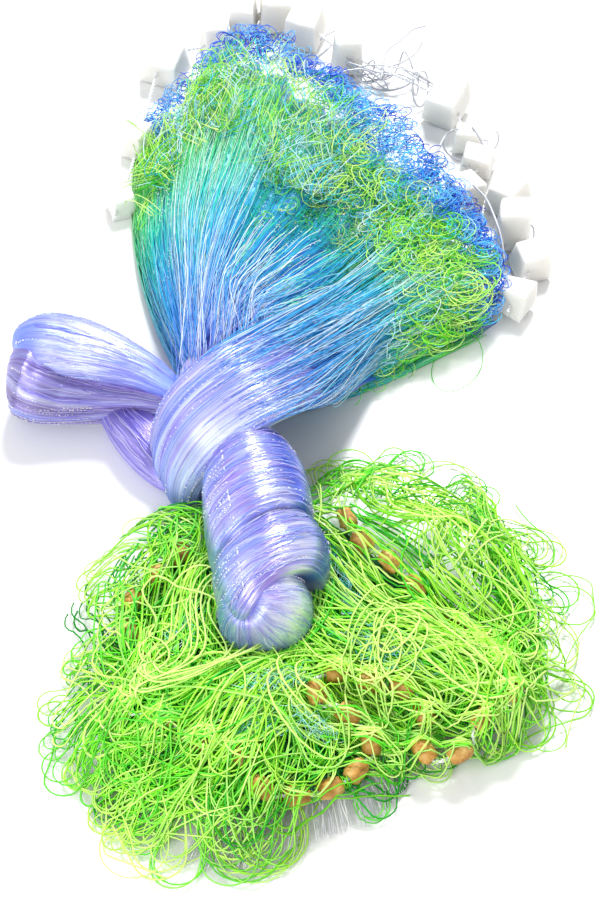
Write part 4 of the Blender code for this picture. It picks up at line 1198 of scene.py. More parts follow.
def bundle(rows, left, at, angle, lift=0.0):
    """centre + (half width + lift) * cos(angle) * side + (half height + lift) * sin(angle) * top.

    at runs from 0 to 1 along the centre line; the side is the left way made square to it.
    """
    rows = np.array(rows)
    travel = travelled(rows[:, :3])
    at, angle, lift = np.broadcast_arrays(at, angle, lift)

    def columns(share, first, last):
        """Some columns of the table at a share of the centre line's length."""
        where = np.clip(share, 0, 1) * travel[-1]
        return np.stack([smooth_through(travel, rows[:, k], where) for k in range(first, last)], -1)

    ahead = unit(columns(at + 0.003, 0, 3) - columns(at - 0.003, 0, 3))
    side = unit(np.array(left) - ahead * (ahead @ np.array(left))[..., None])
    half = np.maximum(columns(at, 3, 5) + lift[..., None], 0.001)
    points = (columns(at, 0, 3) + side * half[..., :1] * np.cos(angle)[..., None]
              + np.cross(side, ahead) * half[..., 1:] * np.sin(angle)[..., None])
    points[..., 2] = np.maximum(points[..., 2], LOWEST_SKIN)
    return points


# %% Where the threads of each bundle lie
CREASES = (-0.103, -0.179, -0.231)
BARRELS = [
    # y at the middle of the shank, radius added there; each crease is a step
    (-0.262, -0.008), (-0.2311, -0.0070), (-0.2309, -0.0040), (-0.2280, -0.0020),
    (-0.2200, 0.0000), (-0.2060, 0.0014), (-0.1930, 0.0004), (-0.1840, -0.0030),
    (-0.1791, -0.0086), (-0.1789, -0.0022), (-0.1765, -0.0003), (-0.1680, 0.0020),
    (-0.1540, 0.0032), (-0.1350, 0.0028), (-0.1180, 0.0002), (-0.1080, -0.0036),
    (-0.1031, -0.0070), (-0.1029, -0.0090), (-0.0900, -0.0150), (0.0200, -0.0160),
]
SHANK_LEANS = [
    # y at the middle of the shank, how far its threads lean there
    (-0.27, 0.50), (-0.21, 0.44), (-0.179, 0.26), (-0.145, 0.18), (-0.103, 0.10), (-0.06, 0.30),
    (0.02, 0.50),
]
SHANK_LEFT = (-1, -0.2, 0)
SHANK_HALF_WIDTH, SHANK_RADIUS = 0.042, 0.043
SHANK_SHARES = np.linspace(0, 1, 400)
SHANK_LINE = -(bundle(SHANK, SHANK_LEFT, SHANK_SHARES, 0.0)[:, 1]
               + bundle(SHANK, SHANK_LEFT, SHANK_SHARES, np.pi)[:, 1]) / 2
NOSE_CENTRE = np.array([-0.0155, -0.231, 0.038])
NOSE_HALF = np.array([0.0325, 0.031, 0.040])
NOSE_POLE = unit(np.array([-0.46, -0.42, 0.78]))
# where a highlight is painted on the nose's lower right
NOSE_PAINTED_SHEEN = NOSE_CENTRE + NOSE_HALF * np.array([0.62, -0.58, 0.50])


def shank_place(level, angle, lift=0.0):
    """A wound thread: level is its y at the middle, and it leans to larger y on the right."""
    lean = np.interp(level, *np.array(SHANK_LEANS).T)
    y = level - lean * SHANK_HALF_WIDTH * np.cos(angle)
    at = np.interp(-y, SHANK_LINE, SHANK_SHARES)
    return bundle(SHANK, SHANK_LEFT, at, angle, lift + np.interp(level, *np.array(BARRELS).T))


def nose_place(turn, away, lift=0.0):
    """A thread drawn out of the pinch: away is the angle from the pole, turn the way round it."""
    turn, away, lift = np.broadcast_arrays(turn, away, lift)
    side = unit(np.cross(NOSE_POLE, [0.0, 1.0, 0.0]))
    ball = (NOSE_POLE * np.cos(away)[..., None]
            + (side * np.cos(turn)[..., None] + np.cross(NOSE_POLE, side) * np.sin(turn)[..., None])
            * np.sin(away)[..., None])
    half = NOSE_HALF - 0.010 * np.exp(-(away[..., None] / 0.30) ** 2) + lift[..., None]
    points = NOSE_CENTRE + half * ball
    points[..., 2] = np.maximum(points[..., 2], LOWEST_SKIN)
    return points


def bight_upper_place(angle, at, lift=0.0):
    """A drawn thread on the bight's upper layer."""
    return bundle(BIGHT_UPPER, (0, 1, 0), at, angle, lift)


def bight_lower_place(angle, at, lift=0.0):
    """A drawn thread on the bight's lower layer."""
    return bundle(BIGHT_LOWER, (0, 1, 0), at, angle, lift + 0.0007 * np.sin(14 * angle + 2 * at))


def under_place(angle, at, lift=0.0):
    """A drawn thread on the part that passes under the hitch."""
    return bundle(UNDER_PASS, (-0.8, -0.5, 0), at, angle, lift)


def hitch_place(angle, at, lift=0.0):
    """A drawn thread on the hitch band, whose folds are low waves across it."""
    folds = np.abs(np.sin(2.5 * angle + 1.2 * np.sin(4 * at)))
    ripples = np.sin(9 * angle + 3 * at)
    return bundle(HITCH, (-0.5, 0.866, 0), at, angle, lift + (0.0012 * folds + 0.0007 * ripples) - 0.001)


print("shank at its first crease:", np.round(shank_place(np.array(-0.103), np.array(np.pi / 2)), 3))


# %% Dyes of the silk
TURN = np.linspace(-np.pi / 2, 1.5 * np.pi, 96, endpoint=False)
LILAC, PERIWINKLE, VIOLET = dye(0.74, 0.77, 0.99), dye(0.46, 0.58, 0.98), dye(0.68, 0.54, 0.92)
# a periwinkle that is also deepened as painted shade beside the shank's painted highlight
SHADED_PERIWINKLE = dye(0.34, 0.44, 0.92)
# the pale colour serves for pale threads and for painted highlights; the next two are painted shade,
# near the table and in creases
PALE_THREAD_AND_SHEEN, TABLE_SHADE_SILK, PAINTED_CREASE_SHADE = dye(0.93, 0.95, 1.0), dye(0.30, 0.50, 0.82), dye(0.22, 0.18, 0.64)
TEAL_SILK, GREY_VIOLET = dye(0.20, 0.62, 0.80), dye(0.52, 0.47, 0.68)


def mixed(colour, *layers):
    """Lay each (share, shade) over the colour in turn."""
    for share, shade in layers:
        share = np.clip(share, 0, 1)[..., None]
        colour = colour * (1 - share) + shade * share
    return colour


def silk_dye(points, across, along, seed):
    """Lilac, with broad lines of periwinkle, violet and pale, and painted shade near the table."""
    return mixed(np.broadcast_to(LILAC, points.shape),
                 (0.18 + 0.30 * ripple(seed, 260 * across + 14 * along), PERIWINKLE),
                 (np.clip(0.34 * ripple(seed + 1, 190 * across + 10 * along), 0, 0.55), VIOLET),
                 (0.42 * ripple(seed + 2, 330 * across + 16 * along) - 0.10, PALE_THREAD_AND_SHEEN),
                 # painted shade: darker towards the table
                 (0.75 - points[..., 2] / 0.040, TABLE_SHADE_SILK))


# %% Skin of the shank
def shank_skin():
    """Rows follow the wound threads, closer together at the creases, and end inside the nose.

    A painted highlight lies right of the top, broken along the threads, with periwinkle deepened
    into painted shade beside it, and painted shade under each crease.
    """
    fine = [place + step for place in CREASES
            for step in (0.004, 0.0025, 0.0014, 0.0007, 0.00009, -0.0001, -0.0012, -0.0028, -0.005)]
    levels = np.concatenate([np.linspace(0.0, CREASES[-1] + 0.006, 150), fine])
    levels = np.sort(levels[levels > CREASES[-1]])[::-1]
    levels = np.append(levels, [levels[-1] - 0.00001, levels[-1] - 0.00002])
    inward = np.zeros(len(levels))
    inward[-2:] = -0.010, -0.028
    level, angle = np.meshgrid(levels, TURN, indexing="ij")
    ridges = ripple(51, level * 800 + 1.2 * np.sin(2 * angle)) * 0.00012
    grid = shank_place(level, angle, ridges + inward[:, None])
    broken = 0.55 + 0.35 * ripple(52, level * 700 + 2 * angle)
    turn = angle - 0.5 * np.clip((-0.150 - level) / 0.05, 0, 1)
    below = np.min([np.where(level < place, place - level, 1.0) for place in CREASES], axis=0)
    colour = mixed(silk_dye(grid, level, angle * SHANK_RADIUS, 61),
                   (0.75 * bell(turn, 1.08, 0.20) * broken, VIOLET),
                   # painted highlight: a pale band right of the top of each turn
                   (0.95 * bell(turn, 1.66, 0.26) * broken, PALE_THREAD_AND_SHEEN),
                   # painted shade: deeper periwinkle beside the painted highlight
                   (1.0 * bell(turn, 2.24, 0.32), SHADED_PERIWINKLE),
                   (0.5 * bell(turn, -0.10, 0.35) + 0.7 * bell(turn, 3.10, 0.26), TEAL_SILK),
                   # painted shade under each crease
                   (0.95 * np.exp(-below / 0.008), PAINTED_CREASE_SHADE))
    return skin("wound_shank", grid, colour, wound_silk, FINE, "fine_netting",
                thread=joined(level, angle * SHANK_RADIUS))


shank_skin()


# %% Skins of the drawn bundles
def drawn_skin(name, place, rows, radius, seed, paint, ends=(0.0, 1.0)):
    """Rows go round the bundle, and the threads run along it; paint gives its own layers."""
    at, angle = np.meshgrid(np.linspace(*ends, rows), TURN, indexing="ij")
    ridges = ripple(seed, angle * radius * 600 + 1.5 * np.sin(3 * at)) * 0.0002 * np.sin(np.pi * at)
    grid = place(angle, at, ridges)
    colour = mixed(silk_dye(grid, angle * radius, at * 0.2, seed + 3), *paint(grid, angle, at))
    return skin(name, grid, colour, silk, FINE, "fine_netting",
                thread=joined(angle * radius, at * 0.2))


# Nose: painted shade at the pinch and under the wound turn; a pale band and spot are painted highlights
drawn_skin("wound_nose", nose_place, 60, 0.022, 71, lambda grid, angle, at: (
    (0.85 * bell(at, 0.0, 0.34), PAINTED_CREASE_SHADE), (0.5 * bell(at, 0.75, 0.20), VIOLET),
    (0.8 * bell(at, 1.15, 0.26) * (0.7 + 0.5 * ripple(87, 9 * angle)), PALE_THREAD_AND_SHEEN),
    (1.3 - grid[..., 2] / 0.045, TEAL_SILK),
    (0.7 * np.clip((-0.033 - grid[..., 0]) / 0.012, 0, 1), TEAL_SILK),
    (0.95 * np.exp(-((grid - NOSE_PAINTED_SHEEN) ** 2).sum(-1) / 0.016**2), PALE_THREAD_AND_SHEEN),
    (0.8 * np.clip((grid[..., 1] + 0.226) / 0.012, 0, 1), PAINTED_CREASE_SHADE)), ends=(0.05, 3.05))
# Bight, upper layer: the pale band at its middle is a painted highlight
drawn_skin("bight_upper", bight_upper_place, 80, 0.026, 74, lambda grid, angle, at: (
    (0.40, PERIWINKLE), (0.50 * bell(at, 0.50, 0.13), PALE_THREAD_AND_SHEEN),
    (0.8 * bell(at, 0.97, 0.14) + 0.8 * bell(at, 0.0, 0.2), PERIWINKLE)))
# Bight, lower layer: the darker violet along its top, by the upper layer, is painted shade
drawn_skin("bight_lower", bight_lower_place, 80, 0.030, 77, lambda grid, angle, at: (
    (0.60 + 0.35 * ripple(86, angle * 14), GREY_VIOLET),
    (0.5 * bell(angle, 1.9, 0.5), dye(0.40, 0.32, 0.70))))
# Under-pass: the dark band along its top, under the hitch, is painted shade
drawn_skin("under_pass", under_place, 30, 0.016, 80, lambda grid, angle, at: (
    (0.5, VIOLET), (0.75 * bell(angle, 1.4, 0.7), PAINTED_CREASE_SHADE)))
# Hitch band: the pale band past its middle is a painted highlight; its darker end at the table is
# painted shade
drawn_skin("hitch_band", hitch_place, 120, 0.040, 83, lambda grid, angle, at: (
    (0.45 * bell(at, 0.59, 0.10), PALE_THREAD_AND_SHEEN), (0.30 * bell(at, 0.40, 0.12), VIOLET),
    (2.4 - at / 0.18, dye(0.16, 0.44, 0.92)), (0.7 * bell(at, 0.98, 0.1), TABLE_SHADE_SILK)), ends=(0.09, 1.0))


# %% [markdown]
# ## Loose threads on the silk
# A bundle never lies quite smooth.  Threads stand off it by a fraction of a millimetre, cross
# their neighbours and catch the light one by one.  Each thread here keeps its place across the
# bundle, wanders a little and lifts in a low arc.

# %% Loose threads
def loose_threads():
    """Threads that hold their place across a bundle while they run along a part of it."""
    rng = np.random.default_rng(91)
    run = np.linspace(0, 1, 13)
    paths, hues, lights = [], [], []
    for place, count, low, high, start, end, length, sway, hue_low, hue_high in (
            (shank_place, 230, -0.230, -0.105, 0.2, 3.0, 1.1, 0.0008, 0.2, 0.9),
            (nose_place, 80, 0.0, 6.28, 0.20, 2.4, 1.2, 0.03, 0.2, 0.9),
            (bight_upper_place, 90, 0.1, 3.4, 0.02, 0.97, 0.40, 0.02, 0.2, 0.9),
            (bight_lower_place, 80, 1.6, 3.9, 0.02, 0.97, 0.40, 0.02, 0.0, 0.4),
            (under_place, 36, 0.2, 2.8, 0.02, 0.95, 0.5, 0.04, 0.0, 0.3),
            (hitch_place, 220, 0.05, 3.1, 0.14, 0.92, 0.36, 0.02, 0.2, 1.0)):
        across = rng.uniform(low, high, (count, 1)) + sway * wander(rng, count, run, (0.7, 1.6))
        first = rng.uniform(start, max(end - length, start + 0.01), (count, 1))
        span = length * rng.uniform(0.5, 1.2, (count, 1))
        along = np.clip(first + span * run, start, end + 0.03)
        lift = 0.0003 + rng.gamma(1.3, 0.00045, (count, 1)) * np.sin(np.pi * run) ** 0.6
        paths.append(place(across, along, lift))
        hues.append(rng.uniform(hue_low, hue_high, (count, 1)))
        lights.append(0.38 + 0.6 * rng.beta(1.2, 1.6, count))
    paths = np.concatenate(paths)
    thick = rng.uniform(0.00012, 0.00022, len(paths))[:, None]
    return strands("loose_threads", paths, thick, np.concatenate(hues), np.concatenate(lights),
                   silk_lilac, FINE)


loose_threads()


# %% Strands that spread out of the hitch
def through_places(places, run):
    """Smooth paths through a list of places; each place is an array with a row per strand."""
    stations = np.linspace(0, 1, len(places))
    values = np.stack(places)
    at = np.broadcast_to(run, (values.shape[1], len(run)))
    columns = [np.broadcast_to(values[:, :, k, None], (len(places), *at.shape)) for k in range(3)]
    return joined(*[smooth_through(stations, column, at) for column in columns])


def spreading_strands():
    """Strands that leave the hitch and spread over the fan: to its right flank, and from the neck."""
    rng = np.random.default_rng(92)
    run = np.linspace(0, 1, 19)
    count = 330
    angle = rng.uniform(0.35, 3.05, count)
    share = np.clip(0.52 + 0.47 * (angle / 3.1) ** 0.8 + rng.normal(0, 0.035, count), 0.4, 0.995)
    join = 0.30 + 0.22 * share
    reach = np.maximum(rng.uniform(0.50, 0.86, count), join + 0.14)
    begin = rng.uniform(0.40, 0.66, count)
    stand = rng.gamma(1.6, 0.0016, count)
    flank = through_places([
        hitch_place(angle, begin, 0.0004),
        hitch_place(angle, np.maximum(begin - 0.10, 0.36), 0.0012 + 0.5 * stand),
        fan_point(share, join, 0.003 + stand), fan_point(share, 0.5 * (join + reach), 0.002 + stand),
        fan_point(share, reach, 0.001)], run)
    count = 150
    angle = rng.uniform(-0.5, 0.25, count)
    begin = rng.uniform(0.34, 0.74, count)
    share = np.clip(0.66 - 1.5 * (begin - 0.34) + rng.normal(0, 0.05, count), 0.02, 0.8)
    reach = rng.uniform(0.26, 0.46, count)
    stand = rng.gamma(2.0, 0.0022, count)
    neck = through_places([
        hitch_place(angle, begin, 0.0006), fan_point(share, 0.25 * reach + 0.08, 0.008 + stand),
        fan_point(share, 0.55 * reach + 0.06, 0.004 + stand),
        fan_point(share, 0.85 * reach, 0.004 + 1.3 * stand),
        fan_point(share, reach, 0.002 + stand)], run)
    paths = np.concatenate([flank, neck])
    hue = np.clip(0.12 + 0.75 * run + rng.normal(0, 0.08, (len(paths), 1)), 0.03, 0.9)
    light = np.concatenate([rng.beta(1.6, 1.3, len(flank)), rng.beta(2.2, 1.3, len(neck))])
    thick = rng.uniform(0.00020, 0.00034, len(paths))[:, None]
    return strands("spreading_strands", paths, thick, hue, light, fan_blue, FINE)


spreading_strands()


# %% [markdown]
# ## Knots of the fine netting
# Fine netting shows its knots as rows of white specks.  Each knot is an octahedron, 8 faces,
# because at half a millimetre nobody can see more.

# %% Knots
def knots():
    """Octahedra: each centre plus and minus its size along three axes, in rows and at random."""
    rng = np.random.default_rng(95)
    centres = []
    for place, rows, low, high, start, end, spacing in (
            (shank_place, 34, -0.225, -0.110, 0.15, 1.0, 0.07),
            (shank_place, 12, -0.225, -0.110, 1.0, 2.9, 0.07),
            (bight_upper_place, 12, 0.3, 3.2, 0.40, 0.95, 0.020),
            (bight_lower_place, 14, 2.0, 3.6, 0.40, 0.95, 0.020),
            (hitch_place, 26, 0.2, 3.0, 0.45, 0.92, 0.018),
            (nose_place, 6, 2.0, 6.0, 0.6, 1.8, 0.06)):
        for _ in range(rows):
            count = rng.integers(6, 16)
            begin = rng.uniform(start, end)
            along = np.clip(begin + spacing * (np.arange(count) + rng.normal(0, 0.2, count)), start, end)
            across = rng.uniform(low, high) + 0.004 * (high - low) * np.cumsum(rng.normal(0, 1, count))
            centres.append(place(across, along, rng.uniform(0.0003, 0.0010, count)))
    for _ in range(90):
        count = rng.integers(6, 18)
        share = rng.uniform(0.03, 0.97) + 0.010 * np.cumsum(rng.normal(0, 1, count))
        along = rng.uniform(0.15, 0.62) + 0.008 * np.arange(count)
        centres.append(fan_point(np.clip(share, 0.01, 0.99), along, rng.uniform(0.001, 0.004, count)))
    centres = np.concatenate(centres)
    size = rng.uniform(0.00040, 0.00085, (len(centres), 1, 1))
    corners = np.array([(1, 0, 0), (0, 1, 0), (-1, 0, 0), (0, -1, 0), (0, 0, 1), (0, 0, -1)])
    points = (centres[:, None] + size * corners).reshape(-1, 3)
    faces = np.array([(0, 1, 4), (1, 2, 4), (2, 3, 4), (3, 0, 4),
                      (1, 0, 5), (2, 1, 5), (3, 2, 5), (0, 3, 5)])
    corners = (faces.reshape(1, -1) + 6 * np.arange(len(centres))[:, None]).reshape(-1)
    chart = joined(0.3 + np.tile([0, CHART_STEP, 0], (1, 8)), rng.uniform(0.4, 0.95, (len(centres), 1)))
    chart[:, 2::3, 1] += CHART_STEP
    mesh = fill_mesh("fine_knots", points + SHIFT, corners, np.arange(0, len(corners), 3), chart)
    return add_piece("fine_knots", mesh, white_cord, FINE)


knots()


# %% [markdown]
# ## Floats
# The floats are offcuts of closed-cell foam, sawn by hand into blocks that are not quite
# square.  A float here is a box whose edges are rounded by 1.6 mm, narrower at the top, leaning
# a little, and turned as its place in the table tells.

# %% Float finish and floats
def grained_finish(name, stops, scale, depth, roughness, **more):
    """Colours read from a noise in the piece's own space, with the same noise as fine bumps."""
    material, tree, shader = new_finish(name)
    grain = noise(tree, add_node(tree, "TexCoord").outputs["Object"], scale, 6.0, Roughness=0.6)
    fill(tree, shader, Base_Color=ramp(tree, grain, [(place, dye(*colour)) for place, *colour in stops]),
         Normal=relief(tree, grain, 0.6, depth), Roughness=roughness, **more)
    return material


foam = grained_finish(
    "warm_white_foam", [(0.28, 0.85, 0.83, 0.80), (0.40, 0.90, 0.89, 0.87), (0.75, 0.91, 0.905, 0.89)],
    600.0, 0.0003, 0.8,
    Subsurface_Weight=1.0, Subsurface_Radius=(1.0, 0.97, 0.92), Subsurface_Scale=0.010)
FLOAT_SPRING = 1.10       # loose foam stands this much past its packed block
FLOATS = [
    # width, depth, height, yaw, roll
    (0.019, 0.020, 0.020, 20, 8), (0.024, 0.020, 0.022, 60, -6), (0.033, 0.029, 0.027, -24, 10),
    (0.024, 0.022, 0.024, 12, -8), (0.022, 0.028, 0.030, -10, 6), (0.026, 0.026, 0.026, 8, -10),
    (0.028, 0.032, 0.032, -22, 12), (0.024, 0.026, 0.030, 4, -5), (0.028, 0.036, 0.028, -28, 12),
    (0.023, 0.018, 0.018, -6, -6), (0.025, 0.020, 0.020, -14, 10), (0.025, 0.025, 0.024, 24, -4),
    (0.026, 0.029, 0.026, -38, 10), (0.026, 0.028, 0.032, -6, -8), (0.024, 0.025, 0.023, 20, 6),
    (0.026, 0.024, 0.020, -30, -8),
]
FLOAT_TAPER, FLOAT_LEAN, FLOAT_EDGE = 0.86, 0.05, 0.0016
FLOAT_SKEW = 0.05         # how far the saw strays, as a share
FLOAT_LOWEST = 0.0003
FLOAT_AT = np.array([middle(node) for node in FLOAT_NODES])


def unit_box(cells):
    """Six grids of points on a box from -1 to 1, closer at its edges, welded into one surface."""
    line = np.sin(np.linspace(-1, 1, cells + 1) * np.pi / 2)
    a, b = np.meshgrid(line, line, indexing="ij")
    one = np.ones_like(a)
    sides = [(a, b, one), (b, a, -one), (one, a, b), (-one, b, a), (b, one, a), (a, -one, b)]
    points = np.concatenate([joined(*side).reshape(-1, 3) for side in sides])
    quads = cell_corners(np.arange(len(points)).reshape(6, cells + 1, cells + 1), turned=True).ravel()
    side = np.arange(6).repeat((cells + 1) ** 2)[:, None]
    flat = np.tile(joined(a, b).reshape(-1, 2), (6, 1)) * 0.12 + 0.14
    flat = flat + side % 3 * [0.3, 0.0] + side // 3 * [0.0, 0.4]
    welded, lookup = np.unique(np.round(points, 6), axis=0, return_inverse=True)
    return welded, lookup.ravel()[quads], flat[quads]


def foam_floats():
    """Box corners pulled in by the edge and pushed out by it as a ball, then tapered and turned."""
    rng = np.random.default_rng(97)
    box, loops, chart = unit_box(8)
    points = []
    for (*size, yaw, roll), place in zip(FLOATS, FLOAT_AT):
        half = FLOAT_SPRING * np.array(size) / 2
        full = box * half
        inner = np.clip(full, FLOAT_EDGE - half, half - FLOAT_EDGE)
        body = inner + FLOAT_EDGE * unit(full - inner)
        rise = body[:, 2:] / (2 * half[2]) + 0.5
        body[:, :2] *= 1 - (1 - FLOAT_TAPER) * rise
        body[:, 0] += FLOAT_LEAN * 2 * half[0] * rise[:, 0]
        body += (body / half)[:, [1, 2, 0]] * (body @ rng.normal(0, FLOAT_SKEW, (3, 3)))
        x, y, z = body.T
        y, z = turned_by(roll, y, z)
        x, y = turned_by(yaw, x, y)
        body = joined(x, y, z)
        body = body - (body.min(axis=0) + body.max(axis=0)) / 2 + place
        body[:, 2] += max(FLOAT_LOWEST - body[:, 2].min(), 0.0)
        points.append(body)
    corners = (loops + len(box) * np.arange(len(FLOATS))[:, None]).ravel()
    mesh = fill_mesh("foam_floats", np.concatenate(points), corners, np.arange(0, len(corners), 4),
                     np.tile(chart, (len(FLOATS), 1)))
    return add_piece("foam_floats", mesh, foam, "float_foam", *FLOAT_NODES)


foam_floats()


# %% [markdown]
# ## Sinkers
# The sinkers are beads of low-fired clay, rolled on a rod.  Each is a short barrel with soft
# shoulders and an open bore, a little lumpy, and threaded on the foot rope.

# %% Sinker finish and sinkers
clay = grained_finish(
    "fired_clay", [(0.28, 0.48, 0.29, 0.08), (0.48, 0.77, 0.56, 0.24), (0.70, 0.93, 0.77, 0.48)],
    120.0, 0.0008, 0.55)
SINKER_HALF, SINKER_RADIUS, SINKER_LUMPS = 0.00825, 0.0066, 0.07
SINKER_PROFILE = [
    # shares of the half length and the radius: out along the barrel, and back through the bore
    (-1, 0.42), (-1, 0.62), (-0.9, 0.78), (-0.65, 0.92), (-0.3, 0.99), (0, 1.0), (0.3, 0.99),
    (0.65, 0.92), (0.9, 0.78), (1, 0.62), (1, 0.42), (0.5, 0.36), (0, 0.36), (-0.5, 0.36),
]


def row_directions(places):
    """Direction of a row at each of its places: from the one before to the one after."""
    padded = np.concatenate([places[:1], places, places[-1:]])
    return unit(padded[2:] - padded[:-2])


def square_to(ahead):
    """Level across each direction, and square to both."""
    side = unit(np.cross(ahead, [0.0, 0.0, 1.0]))
    return side, np.cross(side, ahead)


def clay_sinkers():
    """A barrel's profile turned round its axis: radius by station, out along it and back inside."""
    rng = np.random.default_rng(98)
    station, radius = np.array(SINKER_PROFILE).T
    turns = 12
    angle = np.linspace(0, 2 * np.pi, turns, endpoint=False)
    ahead = row_directions(SINKER_AT)
    side, top = square_to(ahead)
    lumps = 1 + SINKER_LUMPS * rng.normal(0, 1, (len(ahead), len(station), turns))
    outward = side[:, None, None] * np.cos(angle)[:, None] + top[:, None, None] * np.sin(angle)[:, None]
    points = (SINKER_AT[:, None, None] + ahead[:, None, None] * (station * SINKER_HALF)[:, None, None]
              + outward * (radius[:, None] * SINKER_RADIUS * lumps)[..., None])
    index = closed_round(np.arange(points[..., 0].size).reshape(points.shape[:3]))
    quads = cell_corners(np.concatenate([index, index[:, :1]], axis=1), turned=True).ravel()
    u, v = np.meshgrid(np.linspace(0.01, 0.99, turns + 1), np.linspace(0.01, 0.99, len(station) + 1))
    flat = cell_corners(joined(u, v)[None], turned=True).reshape(-1, 2)
    mesh = fill_mesh("clay_sinkers", points.reshape(-1, 3), quads, np.arange(0, len(quads), 4),
                     np.tile(flat, (len(ahead), 1)))
    return add_piece("clay_sinkers", mesh, clay, "sinker_clay", *SINKER_NODES)


clay_sinkers()


# %% [markdown]
# ## Ropes
# Both ropes are two plies laid round each other.  A ply is a thick strand whose line goes round
# the rope's own line once every 8 mm.

# %% Ropes
LAY, PLY_OFFSET, PLY_RADIUS = 0.008, 0.00075, 0.0008


def rope(name, places, half_straight, end, points, node):
    """Two plies: the rope's line plus the offset times (cos, sin) of length * 2 pi / lay."""
    ahead = row_directions(places)
    line = np.stack([places - ahead * half_straight, places, places + ahead * half_straight], axis=1)
    line = line.reshape(-1, 3)
    line = np.concatenate([line[:1] - ahead[:1] * end, line, line[-1:] + ahead[-1:] * end])
    path = curve_through(line, np.linspace(0, 1, points))[None]
    travel = travelled(path[0])
    side, up = carried_sides(path)
    turn = (2 * np.pi * travel / LAY)[None, :, None] + np.array([0.0, np.pi])[:, None, None]
    plies = path + PLY_OFFSET * (np.cos(turn) * side + np.sin(turn) * up)
    plies[..., 2] = np.maximum(plies[..., 2], PLY_RADIUS)
    print(f"{name}: {travel[-1] * 1000:.0f} mm long")
    return strands(name, plies - SHIFT, PLY_RADIUS, 0.5, [0.5, 0.75], white_cord, "rope_fibre",
                   node, sides=5)


rope("foot_rope_plies", SINKER_AT, 0.0091, 0.003, 620, "foot_rope")
rope("head_rope_plies", FLOAT_AT, 0.011, 0.007, 700, "head_rope")


# %% [markdown]
# ## Strays, ends and small knots
# A real net is never tidy.  Loops stray out of the heap, cut ends of clear filament show at its
# front, fine netting shines through in patches, clear line hangs in loops between the floats,
# and a green hitch holds each sinker in its place.

# %% Strays round the heap
MOST_X = 0.214            # no loop lies further right than this


def heap_rim(azimuth, share):
    """Plan point of the heap at an azimuth in radians and a share of its reach."""
    x, y = np.cos(azimuth), np.sin(azimuth)
    reach = share / heap_share(HEAP_CENTRE[0] + x, HEAP_CENTRE[1] + y)[0]
    return HEAP_CENTRE[0] + reach * x, HEAP_CENTRE[1] + reach * y


RIM_LOOPS = [
    # azimuth_low, azimuth_high, locks, radius_low, radius_high, reach_low, reach_high, skew
    (112.0, 150.0, 4, 0.007, 0.012, 0.94, 1.06, 20.0),      # top of the left lobe
    (150.0, 205.0, 12, 0.006, 0.013, 0.94, 1.10, 12.0),     # left side
    (205.0, 240.0, 17, 0.006, 0.013, 0.94, 1.12, -8.0),     # streaks to the lower left
    (240.0, 284.0, 17, 0.011, 0.024, 0.90, 1.20, 0.0),      # big loops at the front
    (284.0, 318.0, 6, 0.006, 0.012, 0.88, 1.04, 0.0),
    (318.0, 360.0, 14, 0.008, 0.017, 0.92, 1.14, 0.0),      # right side
    (0.0, 50.0, 14, 0.010, 0.022, 0.92, 1.14, 0.0),
    (50.0, 104.0, 13, 0.008, 0.017, 0.88, 1.16, 0.0),       # behind, beside the shank
]
LOOPS_IN_LOCK = 3
LOOP_STEPS = (8, 13, 6)   # on the way out, round the end and back


